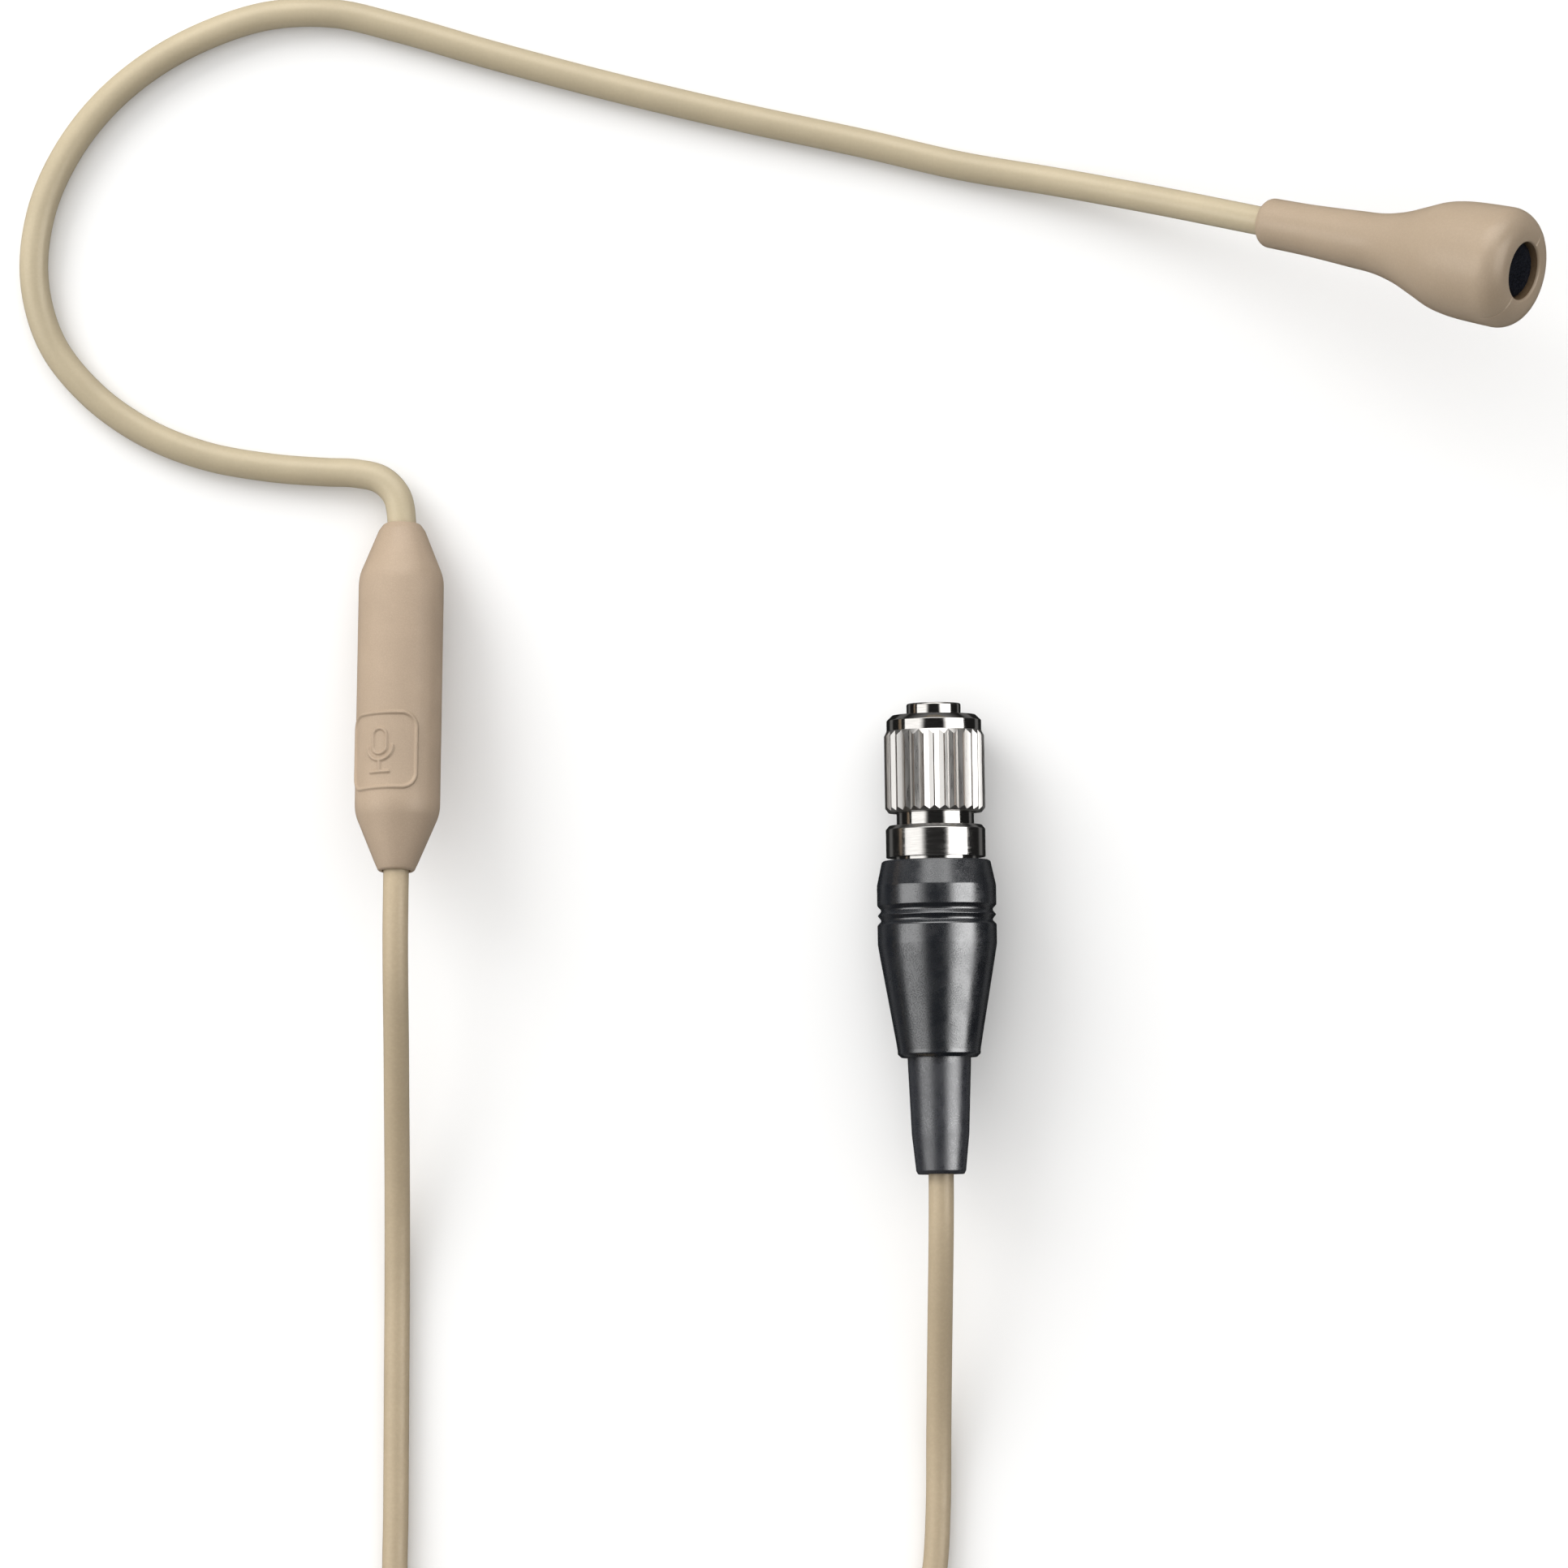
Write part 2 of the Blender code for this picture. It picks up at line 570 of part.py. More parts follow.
stop_ring = turned(
    "collar_stop_ring",
    [(4.08 * MM, 37.65 * MM), (4.08 * MM, 37.15 * MM), (3.56 * MM, 37.15 * MM),
     (3.56 * MM, 37.65 * MM)],
    ((0.40, 0.40, 0.42), 0.35, 1.0), plug_axis, steps=32,
)
ring_split = box(
    "ring_split", (1.2 * MM, 3.0 * MM, 2.0 * MM), (0.0, 4.0 * MM, 37.4 * MM),
    parent=plug_axis, collection=cutters,
)
cut(stop_ring, cutter(ring_split))

SPRING_TURNS = 4.5
spring_points = []
for number in range(int(SPRING_TURNS * 12) + 1):
    angle = 2.0 * pi * number / 12.0
    rise = number / (SPRING_TURNS * 12.0)
    spring_points.append(Vector((
        3.5 * MM * cos(angle), 3.5 * MM * sin(angle), (39.05 + 3.45 * rise) * MM
    )))
collar_spring = tube_curve(
    "collar_spring", spring_points, 0.22 * MM, ((0.5, 0.5, 0.52), 0.3, 1.0), plug_axis,
    resolution=1,
)

plug_boot = turned(
    "plug_boot",
    [(5.2 * MM, 31.2 * MM), (5.45 * MM, 30.95 * MM), (5.93 * MM, 28.6 * MM),
     (5.93 * MM, 26.7 * MM), (5.6 * MM, 26.3 * MM), (5.6 * MM, 26.15 * MM), (5.9 * MM, 25.75 * MM),
     (5.6 * MM, 25.35 * MM), (5.6 * MM, 25.2 * MM), (5.93 * MM, 24.85 * MM),
     (5.93 * MM, 23.4 * MM), (5.7 * MM, 21.6 * MM), (4.1 * MM, 12.3 * MM), (3.8 * MM, 11.65 * MM),
     (3.45 * MM, 11.65 * MM), (3.45 * MM, 13.6 * MM), (4.3 * MM, 16.4 * MM),
     (4.5 * MM, 21.2 * MM), (4.5 * MM, 31.2 * MM)],
    DARK_RUBBER, plug_axis,
)
strain_relief = turned(
    "strain_relief",
    [(3.55 * MM, 16.0 * MM), (3.55 * MM, 15.0 * MM), (3.15 * MM, 14.3 * MM), (3.15 * MM, 11.2 * MM),
     (2.85 * MM, 4.0 * MM), (2.5 * MM, 0.5 * MM), (2.2 * MM, 0.05 * MM), (1.75 * MM, 0.0),
     (1.55 * MM, 0.3 * MM), (1.55 * MM, 16.0 * MM)],
    ((0.055, 0.057, 0.065), 0.55), plug_axis, steps=24,
)
cable_crimp = turned(
    "cable_crimp",
    [(2.1 * MM, 20.8 * MM), (2.1 * MM, 16.4 * MM), (1.52 * MM, 16.4 * MM), (1.52 * MM, 20.8 * MM)],
    ((0.70, 0.58, 0.28), 0.35, 1.0), plug_axis, steps=20,
)

# ---------------------------------------------------------------- cable

# The run from the barrel: out along its axis, down to the table in one long bow, then straight on.
from_barrel = [on_axis(barrel_axis, 5.0 * MM), on_axis(barrel_axis, 2.0 * MM),
               on_axis(barrel_axis, -2.0 * MM)]
from_barrel += [Vector(point) * MM for point in (
    (-37.5, -50.0, 10.6), (-37.5, -55.0, 10.0), (-37.5, -60.0, 8.6), (-37.55, -66.0, 6.4),
    (-37.6, -72.0, 4.2), (-37.65, -78.0, 2.5), (-37.7, -85.0, 1.5), (-37.75, -92.0, 1.3),
    (-37.8, -100.0, 1.3), (-37.85, -108.0, 1.3), (-37.9, -115.0, 1.3),
    (-37.3, -120.5, 1.3), (-35.5, -125.5, 1.4), (-33.4, -130.0, 1.6),
)]
to_plug = [Vector(point) * MM for point in (
    (10.1, -128.0, 3.2), (12.5, -123.5, 2.0), (14.8, -118.8, 1.4), (16.0, -113.8, 1.3),
    (16.4, -107.5, 1.35), (16.45, -100.0, 2.0), (16.5, -92.0, 3.9), (16.55, -85.0, 6.1),
    (16.6, -78.5, 7.5),
)]
to_plug += [on_axis(plug_axis, 1.0 * MM), on_axis(plug_axis, 8.0 * MM),
            on_axis(plug_axis, 15.0 * MM), on_axis(plug_axis, 22.2 * MM)]

CABLE_LOOK = (CABLE_SKIN, 0.5)
tube_curve("cable_to_coil", thinned(smooth_route(from_barrel), 8.0 * MM, 9.0), CABLE_R, CABLE_LOOK)
tube_curve("cable_to_plug", thinned(smooth_route(to_plug), 8.0 * MM, 9.0), CABLE_R, CABLE_LOOK)

coil_axis = axis_empty("coil_axis", COIL_CENTRE, (0.0, 0.0, 0.0))
cable_coil = turned(
    "cable_coil",
    [(19.1 * MM, COIL_TOP), (19.4 * MM, COIL_TOP - 1.2 * MM), (COIL_OUTER_R, 3.6 * MM),
     (COIL_OUTER_R, 1.6 * MM), (19.7 * MM, COIL_BASE), (10.7 * MM, COIL_BASE),
     (COIL_INNER_R, 1.6 * MM), (COIL_INNER_R, 8.2 * MM), (11.6 * MM, COIL_TOP)],
    CABLE_LOOK, coil_axis, steps=32,
)

# The strap goes round the coil's section on its far side from the headset.
inner_edge = sqrt(COIL_INNER_R ** 2 - (STRAP_WIDTH / 2.0) ** 2) - GAP
strap_hole = [
    (inner_edge, COIL_BASE - GAP), (COIL_OUTER_R + GAP, COIL_BASE - GAP),
    (COIL_OUTER_R + GAP, 4.0 * MM), (19.75 * MM, COIL_TOP + GAP), (inner_edge, COIL_TOP + GAP),
]
strap_edge = [
    (inner_edge - STRAP_THICK, 0.4 * MM), (inner_edge, 0.0), (COIL_OUTER_R, 0.0),
    (COIL_OUTER_R + GAP + STRAP_THICK, 0.4 * MM), (COIL_OUTER_R + GAP + STRAP_THICK, 4.1 * MM),
    (20.3 * MM, COIL_TOP + GAP + 0.2 * MM), (19.9 * MM, COIL_TOP + GAP + STRAP_THICK),
    (inner_edge, COIL_TOP + GAP + STRAP_THICK),
    (inner_edge - STRAP_THICK, COIL_TOP + GAP + 0.2 * MM),
]
strap_curve = bpy.data.curves.new("cable_tie", "CURVE")
strap_curve.dimensions = "2D"
strap_curve.fill_mode = "BOTH"
strap_curve.extrude = STRAP_WIDTH / 2.0
for outline in (strap_edge, strap_hole):
    loop = strap_curve.splines.new("POLY")
    loop.points.add(len(outline) - 1)
    loop.use_cyclic_u = True
    for slot, (reach, height) in zip(loop.points, outline):
        slot.co = (reach, height, 0.0, 1.0)
cable_tie = add_object("cable_tie", strap_curve, ((0.02, 0.02, 0.022), 0.9), coil_axis)
cable_tie.rotation_euler = Euler((pi / 2.0, 0.0, -pi / 2.0))
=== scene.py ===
"""The looks of an ear-worn headset microphone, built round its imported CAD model.

Metres, +Z up.  The headset lies on a pale table and is seen from straight above.  Profiles and
routes are written in millimetres and scaled by MM.
"""
from math import ceil, cos, pi, radians, sin, sqrt, tan

import bmesh
import bpy
import numpy as np
from mathutils import Matrix, Vector, noise


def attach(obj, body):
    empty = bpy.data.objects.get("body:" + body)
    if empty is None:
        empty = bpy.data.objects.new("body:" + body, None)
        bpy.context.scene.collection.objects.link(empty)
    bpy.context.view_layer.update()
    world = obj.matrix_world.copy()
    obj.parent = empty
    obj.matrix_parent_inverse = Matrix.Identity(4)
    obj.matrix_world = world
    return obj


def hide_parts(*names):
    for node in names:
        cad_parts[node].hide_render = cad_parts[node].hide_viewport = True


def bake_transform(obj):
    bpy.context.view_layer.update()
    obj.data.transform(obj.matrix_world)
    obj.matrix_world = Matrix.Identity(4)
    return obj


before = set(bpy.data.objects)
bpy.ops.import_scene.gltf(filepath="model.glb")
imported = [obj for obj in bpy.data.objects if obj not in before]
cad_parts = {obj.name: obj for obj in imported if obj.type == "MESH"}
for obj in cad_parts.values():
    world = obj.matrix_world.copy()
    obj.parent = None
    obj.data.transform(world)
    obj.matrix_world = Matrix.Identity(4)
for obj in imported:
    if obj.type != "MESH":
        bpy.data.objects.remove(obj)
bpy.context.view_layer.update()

MM = 0.001
UP = Vector((0.0, 0.0, 1.0))
scene = bpy.context.scene


# ---------------------------------------------------------------- axes read from the frame

def node_points(node):
    """The distinct vertices of a CAD node."""
    points = np.array([vertex.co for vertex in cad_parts[node].data.vertices], float)
    return np.unique(points.round(7), axis=0)


def group_axis(cover, low_node, high_node):
    """The frame of a turned group: its origin at the cover's rear end, +Z along the axis.

    The axis runs through the middles of two round nodes, and local +Y is its upper side.
    """
    low = Vector(node_points(low_node).mean(axis=0))
    high = Vector(node_points(high_node).mean(axis=0))
    along = (high - low).normalized()
    rear = min(Vector(point).dot(along) for point in node_points(cover))
    origin = low + along * (rear - low.dot(along))
    over = (UP - along * UP.dot(along)).normalized()
    aside = over.cross(along)
    made = Matrix((aside, over, along)).transposed().to_4x4()
    made.translation = origin
    return made


HEAD = group_axis("element_cover", "head_ferrule", "capsule_can")
BARREL = group_axis("barrel_cover", "cable_ferrule", "boom_ferrule")
PLUG = group_axis("strain_relief", "cable_crimp", "rear_shell")


def on_axis(axis, height):
    """The world point at a height in mm on a group's axis."""
    return axis @ Vector((0.0, 0.0, height * MM))


# ---------------------------------------------------------------- routes

def spline_point(before, start, end, after, share):
    """A centripetal Catmull-Rom point between start and end."""
    t0 = 0.0
    t1 = t0 + max((start - before).length, 1e-9) ** 0.5
    t2 = t1 + max((end - start).length, 1e-9) ** 0.5
    t3 = t2 + max((after - end).length, 1e-9) ** 0.5
    t = t1 + (t2 - t1) * share
    a1 = before * ((t1 - t) / (t1 - t0)) + start * ((t - t0) / (t1 - t0))
    a2 = start * ((t2 - t) / (t2 - t1)) + end * ((t - t1) / (t2 - t1))
    a3 = end * ((t3 - t) / (t3 - t2)) + after * ((t - t2) / (t3 - t2))
    b1 = a1 * ((t2 - t) / (t2 - t0)) + a2 * ((t - t0) / (t2 - t0))
    b2 = a2 * ((t3 - t) / (t3 - t1)) + a3 * ((t - t1) / (t3 - t1))
    return b1 * ((t2 - t) / (t2 - t1)) + b2 * ((t - t1) / (t2 - t1))


def smooth_route(points, step):
    """Closely spaced points of one smooth curve through the given points."""
    ends = [points[0] * 2.0 - points[1]] + list(points) + [points[-1] * 2.0 - points[-2]]
    route = []
    for index in range(1, len(ends) - 2):
        count = max(2, ceil((ends[index + 1] - ends[index]).length / step))
        for number in range(count):
            route.append(spline_point(*ends[index - 1:index + 3], number / count))
    route.append(ends[-2].copy())
    return route


def eased(share):
    """A step from 0 to 1 that starts and ends level."""
    share = min(max(share, 0.0), 1.0)
    return share * share * (3.0 - 2.0 * share)


# ---------------------------------------------------------------- node graphs

class Graph:
    """Short calls for the nodes of one material or world."""

    def __init__(self, tree):
        self.tree = tree

    def feed(self, socket, value):
        """Link a socket's value, or set a constant."""
        if isinstance(value, bpy.types.NodeSocket):
            self.tree.links.new(value, socket)
        else:
            socket.default_value = value

    def add(self, kind, inputs=None, **settings):
        """A shader node with its settings and inputs."""
        node = self.tree.nodes.new("ShaderNode" + kind)
        for name, value in settings.items():
            setattr(node, name, value)
        for name, value in (inputs or {}).items():
            self.feed(node.inputs[name], value)
        return node

    def math(self, operation, first, second=0.0):
        """A Math node's result."""
        return self.add("Math", {0: first, 1: second}, operation=operation).outputs[0]

    def ramp(self, value, low, high, start=0.0, end=1.0):
        """A smooth step from start to end while value goes from low to high."""
        node = self.add("MapRange", {
            "Value": value, "From Min": low, "From Max": high, "To Min": start, "To Max": end,
        }, interpolation_type="SMOOTHSTEP")
        return node.outputs["Result"]

    def blend(self, share, first, second):
        """A colour between two colours."""
        node = self.add("Mix", {0: share, 6: first, 7: second}, data_type="RGBA")
        return node.outputs[2]

    def grain(self, per_mm, stretch=(1.0, 1.0, 1.0), detail=2.0, rough=0.5):
        """Noise in the piece's own coordinates, so many lumps to the millimetre."""
        place = self.add("TexCoord").outputs["Object"]
        scale = [per_mm / MM * part for part in stretch]
        place = self.add("Mapping", {"Vector": place, "Scale": scale}).outputs["Vector"]
        return self.add("TexNoise", {
            "Vector": place, "Scale": 1.0, "Detail": detail, "Roughness": rough,
        }).outputs["Fac"]

    def bump(self, height, depth, base=None):
        """A normal bumped by a height that is so many millimetres deep."""
        inputs = {"Height": height, "Distance": depth * MM, "Strength": 1.0}
        if base is not None:
            inputs["Normal"] = base
        return self.add("Bump", inputs).outputs["Normal"]


def new_look(name, **values):
    """A Principled material, with plain values on the shader's own sockets."""
    made = bpy.data.materials.new(name)
    made.use_nodes = True
    shader = made.node_tree.nodes["Principled BSDF"]
    for socket, value in values.items():
        shader.inputs[socket.replace("_", " ")].default_value = value
    return made, Graph(made.node_tree), shader.inputs


def rgba(colour, gain=1.0):
    """A colour with its alpha, made lighter or darker by a gain."""
    return (*(part * gain for part in colour), 1.0)


def moulded_look(name, colour, roughness, grain_depth=0.010, speckle=0.10, per_mm=5.0, clouds=0.05,
                 index=1.5, pits=0.0):
    """Moulded rubber or plastic: a fine grain, faint clouds and a sheen that varies with wear.

    pits is how far the grain's low spots are duller, and its high spots shinier, than the rest.
    """
    made, graph, inputs = new_look(name, IOR=index)
    cloud = graph.ramp(graph.grain(0.12, detail=3.0), 0.3, 0.7)
    fine = graph.grain(per_mm, detail=2.0, rough=0.65)
    tint = graph.blend(cloud, rgba(colour, 1.0 - clouds), rgba(colour, 1.0 + clouds))
    spot = graph.ramp(fine, 0.35, 0.75)
    light = graph.blend(spot, rgba((1.0 - speckle,) * 3), rgba((1.0 + speckle,) * 3))
    mixed = graph.add("Mix", {0: 1.0, 6: tint, 7: light}, data_type="RGBA", blend_type="MULTIPLY")
    graph.feed(inputs["Base Color"], mixed.outputs[2])
    worn = graph.ramp(graph.grain(0.5, detail=4.0), 0.3, 0.7, roughness - 0.05, roughness + 0.05)
    dull = graph.ramp(fine, 0.2, 0.8, pits, -pits)
    graph.feed(inputs["Roughness"], graph.math("ADD", worn, dull))
    graph.feed(inputs["Normal"], graph.bump(fine, grain_depth))
    return made


def metal_look(name, colour, roughness, stretch=(0.05, 0.05, 1.0), per_mm=14.0, depth=0.0012,
               spread=0.05):
    """Plated metal with the fine marks of its last cut, drawn out by stretch."""
    made, graph, inputs = new_look(name, Metallic=1.0)
    marks = graph.grain(per_mm, stretch, detail=3.0, rough=0.6)
    dull = graph.ramp(marks, 0.3, 0.7, roughness - spread, roughness + spread)
    tone = graph.blend(graph.ramp(marks, 0.3, 0.7), rgba(colour, 0.9), rgba(colour, 1.06))
    graph.feed(inputs["Base Color"], tone)
    graph.feed(inputs["Roughness"], dull)
    graph.feed(inputs["Normal"], graph.bump(marks, depth))
    return made


LOOKS = {
    "head": moulded_look("skin_rubber", (0.364, 0.281, 0.198), 0.38, 0.005, 0.03, clouds=0.03),
    # painted shade: the sound opening's inside wall is the head's own rubber, coloured dark brown for
    # the shade that falls in the opening
    "painted_throat_shade": moulded_look("opening_wall_painted_shade", (0.13, 0.082, 0.042), 0.6, 0.006),
    "barrel": moulded_look("skin_plastic", (0.392, 0.298, 0.213), 0.45, 0.010, 0.05, 8.0),
    "boom": moulded_look("boom_jacket", (0.455, 0.385, 0.262), 0.36, 0.003, 0.02, 3.0, 0.04),
    "cable": moulded_look("cable_jacket", (0.425, 0.340, 0.226), 0.42, 0.004, 0.03, 3.0, 0.04),
    "foam": moulded_look("foam", (0.005, 0.006, 0.010), 0.95, 0.05, 0.5, 6.0, 0.2, index=1.25),
    "boot": moulded_look("dark_rubber", (0.008, 0.010, 0.014), 0.25, 0.007, 0.5, 13.0, 0.06,
                         index=2.2, pits=0.12),
    "sleeve": moulded_look("sleeve_rubber", (0.020, 0.022, 0.029), 0.33, 0.012, 0.5, 11.0, 0.06,
                           index=2.1, pits=0.12),
    "nickel": metal_look("nickel", (0.50, 0.485, 0.465), 0.09, depth=0.0005, spread=0.02),
    "brushed": metal_look("brushed_nickel", (0.50, 0.485, 0.465), 0.15, depth=0.0014, spread=0.05),
    "knurled": metal_look("knurled_nickel", (0.55, 0.535, 0.515), 0.32, (1.0, 1.0, 0.06), 9.0, 0.0012),
    # painted shade: the grip's crest tops get a dark metal that stands in for the dark they reflect;
    # the real crests are the same nickel as the rest
    "worn": metal_look("worn_crests", (0.115, 0.095, 0.080), 0.38, (1.0, 1.0, 0.06), 9.0, 0.0012),
    "steel": metal_look("steel", (0.55, 0.55, 0.56), 0.32),
    "gold": metal_look("gold", (0.83, 0.62, 0.25), 0.22),
    "brass": metal_look("brass", (0.72, 0.58, 0.29), 0.34),
    "board": moulded_look("board", (0.03, 0.16, 0.07), 0.42, 0.004, 0.2, 2.0, 0.1),
    "component": moulded_look("component", (0.04, 0.037, 0.033), 0.5, 0.004, 0.2),
    "insulator": moulded_look("insulator", (0.022, 0.022, 0.025), 0.45, 0.003, 0.15),
    "white": moulded_look("white_insulation", (0.72, 0.71, 0.68), 0.45, 0.002, 0.04),
    "red": moulded_look("red_insulation", (0.48, 0.03, 0.025), 0.45, 0.002, 0.06),
    "yellow": moulded_look("yellow_insulation", (0.66, 0.46, 0.05), 0.45, 0.002, 0.06),
    "black": moulded_look("black_rubber", (0.02, 0.02, 0.021), 0.6, 0.006, 0.2),
    "strap": moulded_look("strap_fabric", (0.024, 0.024, 0.027), 0.9, 0.06, 0.6, 4.0, 0.1),
}


# ---------------------------------------------------------------- camera, table and light

CAMERA_SPOT = Vector((0.98, -34.84, 900.0)) * MM
VIEW_WIDTH = 157.07 * MM
SENSOR_WIDTH = 36.0
TABLE_HALF = 3.0
TABLE_DROP = 0.1 * MM
KEY_SPOT = (-0.48, 0.42, 0.38)
KEY_TARGET = Vector((0.0, -0.035, 0.0))
KEY_SIZE = 0.45
KEY_POWER = 2.4
BRIGHT_WAY = (-0.45, 0.80, 0.39)
DARK_ROOM = 0.02

camera_data = bpy.data.cameras.new("camera")
camera = bpy.data.objects.new("camera", camera_data)
scene.collection.objects.link(camera)
camera.location = CAMERA_SPOT
camera_data.sensor_width = SENSOR_WIDTH
camera_data.lens = SENSOR_WIDTH * CAMERA_SPOT.z / VIEW_WIDTH
scene.camera = camera


def make_table():
    """A plain pale table top, just under what rests on it."""
    mesh = bpy.data.meshes.new("table_top")
    shape = bmesh.new()
    bmesh.ops.create_grid(shape, x_segments=1, y_segments=1, size=TABLE_HALF)
    bmesh.ops.translate(shape, vec=(0.0, 0.0, -TABLE_DROP), verts=shape.verts)
    shape.to_mesh(mesh)
    shape.free()
    made = bpy.data.objects.new("table_top", mesh)
    scene.collection.objects.link(made)
    mesh.materials.append(new_look("table", Base_Color=rgba((0.92, 0.92, 0.92)), Roughness=0.9)[0])
    made.visible_glossy = False


def make_studio():
    """A soft sky that is brighter to one side, light boxes for the gloss only, and a soft key.

    rise, side and back are how far a direction points up, to the right and to the back.
    """
    world = bpy.data.worlds.new("studio")
    scene.world = world
    world.use_nodes = True
    tree = world.node_tree
    tree.nodes.clear()
    graph = Graph(tree)
    way = graph.add("TexCoord").outputs["Generated"]
    parts = graph.add("SeparateXYZ", {0: way})
    east, north, rise = parts.outputs
    flat = graph.math("SQRT", graph.math("SUBTRACT", 1.0001, graph.math("MULTIPLY", rise, rise)))
    side = graph.math("DIVIDE", east, flat)
    back = graph.math("DIVIDE", north, flat)
    high = graph.math(
        "MULTIPLY", graph.ramp(rise, 0.215, 0.245), graph.ramp(rise, 0.93, 0.775)
    )
    slim = graph.ramp(graph.math("ABSOLUTE", north), 0.34, 0.22)
    strip = graph.math("MULTIPLY", high, slim)
    left_box = graph.math("MULTIPLY", strip, graph.ramp(side, -0.35, -0.55, 0.0, 2.0))
    right_box = graph.math("MULTIPLY", strip, graph.ramp(side, 0.35, 0.55, 0.0, 4.6))
    back_box = graph.math("MULTIPLY", high, graph.ramp(back, 0.65, 0.90, 0.0, 2.8))
    level = graph.ramp(graph.math("ABSOLUTE", rise), 0.45, 0.10)
    far_wall = graph.math("MULTIPLY", level, graph.ramp(back, 0.1, 0.8, 0.0, 0.25))
    under = graph.math(
        "MULTIPLY", graph.ramp(rise, -0.46, -0.56), graph.ramp(rise, -0.78, -0.68, 0.0, 0.17)
    )
    boxes = graph.math("ADD", graph.math("ADD", left_box, right_box), back_box)
    boxes = graph.math("ADD", graph.math("ADD", far_wall, under), boxes)
    boxes = graph.math("ADD", boxes, DARK_ROOM)
    gloss = graph.add("Background", {"Color": (1.0, 1.0, 1.0, 1.0), "Strength": boxes})
    lean = graph.add("VectorMath", {0: way, 1: BRIGHT_WAY}, operation="DOT_PRODUCT")
    soft = graph.ramp(lean.outputs["Value"], -0.8, 0.9, 0.15, 1.5)
    even = graph.add("Background", {"Color": (1.0, 0.995, 0.985, 1.0), "Strength": soft})
    seen = graph.add("LightPath").outputs["Is Glossy Ray"]
    mixed = graph.add("MixShader", {0: seen, 1: even.outputs[0], 2: gloss.outputs[0]})
    graph.add("OutputWorld", {"Surface": mixed.outputs[0]})

    light = bpy.data.lights.new("key", "AREA")
    light.shape = "DISK"
    light.size = KEY_SIZE
    light.energy = KEY_POWER
    key = bpy.data.objects.new("key", light)
    scene.collection.objects.link(key)
    key.location = KEY_SPOT
    key.rotation_euler = (KEY_TARGET - key.location).to_track_quat("-Z", "Y").to_euler()
    key.visible_glossy = False


make_table()
make_studio()
scene.view_settings.view_transform = "Standard"
scene.view_settings.look = "None"


# ---------------------------------------------------------------- cable

CABLE_D = 2.54
COIL_CENTRE = Vector((-10.5, -138.0, 0.0)) * MM
COIL_STEPS = 48
TURN_PITCH = 2.6
LAYER_RISE = 2.3
LAYER_START = 2.2
CABLE_STEP = 1.2 * MM
COIL_LAYERS = ((19.1, -1, 4), (12.6, 1, 3), (16.5, -1, 3), (12.6, 1, 3))
FROM_BARREL = (
    (-37.5, -50.0, 10.6), (-37.5, -55.0, 10.0), (-37.5, -60.0, 8.6), (-37.55, -66.0, 6.4),
    (-37.6, -72.0, 4.2), (-37.65, -78.0, 2.5), (-37.7, -85.0, 1.5), (-37.75, -92.0, 1.3),
    (-37.8, -100.0, 1.3), (-37.85, -108.0, 1.3), (-37.9, -115.0, 1.3), (-37.3, -120.5, 1.3),
    (-35.5, -125.5, 1.4), (-33.4, -130.0, 1.6),
)
TO_PLUG = (
    (10.1, -128.0, 3.2), (12.5, -123.5, 2.0), (14.8, -118.8, 1.4), (16.0, -113.8, 1.3),
    (16.4, -107.5, 1.35), (16.45, -100.0, 2.0), (16.5, -92.0, 3.9), (16.55, -85.0, 6.1),
    (16.6, -78.5, 7.5),
)


def coil_points():
    """Points of the coiled length: turns side by side and layer on layer, half a turn spare."""
    slots = []
    for layer, (first, way, count) in enumerate(COIL_LAYERS):
        for number in range(count):
            slots.append((first + way * TURN_PITCH * number, LAYER_START + LAYER_RISE * layer))
    points = []
    for turn, (radius, height) in enumerate(slots):
        last = turn == len(slots) - 1
        next_radius, next_height = slots[turn] if last else slots[turn + 1]
        for step in range(COIL_STEPS // 2 + 1 if last else COIL_STEPS):
            move = max(0.0, step / COIL_STEPS * 4.0 - 3.0)
            climbs = next_height != height
            inward = eased(2.0 * move - 1.0) if climbs else eased(move)
            reach = radius + (next_radius - radius) * inward
            lift = height + (next_height - height) * eased(2.0 * move)
            angle = pi + 2.0 * pi * step / COIL_STEPS
            points.append(COIL_CENTRE + Vector((reach * cos(angle), reach * sin(angle), lift)) * MM)
    return points


def make_cable():
    """The whole cable as one curve: from the barrel, through its coil and into the plug."""
    start = [on_axis(BARREL, height) for height in (5.0, 2.0, -2.0)]
    start += [Vector(point) * MM for point in FROM_BARREL]
    end = [Vector(point) * MM for point in TO_PLUG]
    end += [on_axis(PLUG, height) for height in (1.0, 8.0, 15.0, 22.2)]
    coil = coil_points()
    route = smooth_route(start + coil[:3], CABLE_STEP)[:-1]
    joined = route + coil[3:-2] + smooth_route(coil[-3:] + end, CABLE_STEP)[1:]
    curve = bpy.data.curves.new("microphone_cable", "CURVE")
    curve.dimensions = "3D"
    curve.bevel_depth = CABLE_D / 2.0 * MM
    curve.bevel_resolution = 6
    curve.use_fill_caps = True
    line = curve.splines.new("POLY")
    line.points.add(len(joined) - 1)
    for slot, point in zip(line.points, joined):
        slot.co = (*point, 1.0)
    line.use_smooth = True
    curve.materials.append(LOOKS["cable"])
    made = bpy.data.objects.new("microphone_cable", curve)
    scene.collection.objects.link(made)
    return made, sum((b - a).length for a, b in zip(joined, joined[1:]))


# ---------------------------------------------------------------- turned and swept shapes

def add_piece(name, mesh, look, body="headset", axis=None, replaces=()):
    """Show a mesh as a piece that rides on a body and stands for CAD nodes."""
    made = bpy.data.objects.new(name, mesh)
    scene.collection.objects.link(made)
    if axis is not None:
        made.matrix_world = axis
    mesh.materials.clear()
    mesh.materials.append(LOOKS[look])
    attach(made, body)
    if replaces:
        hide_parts(*replaces)
    return made


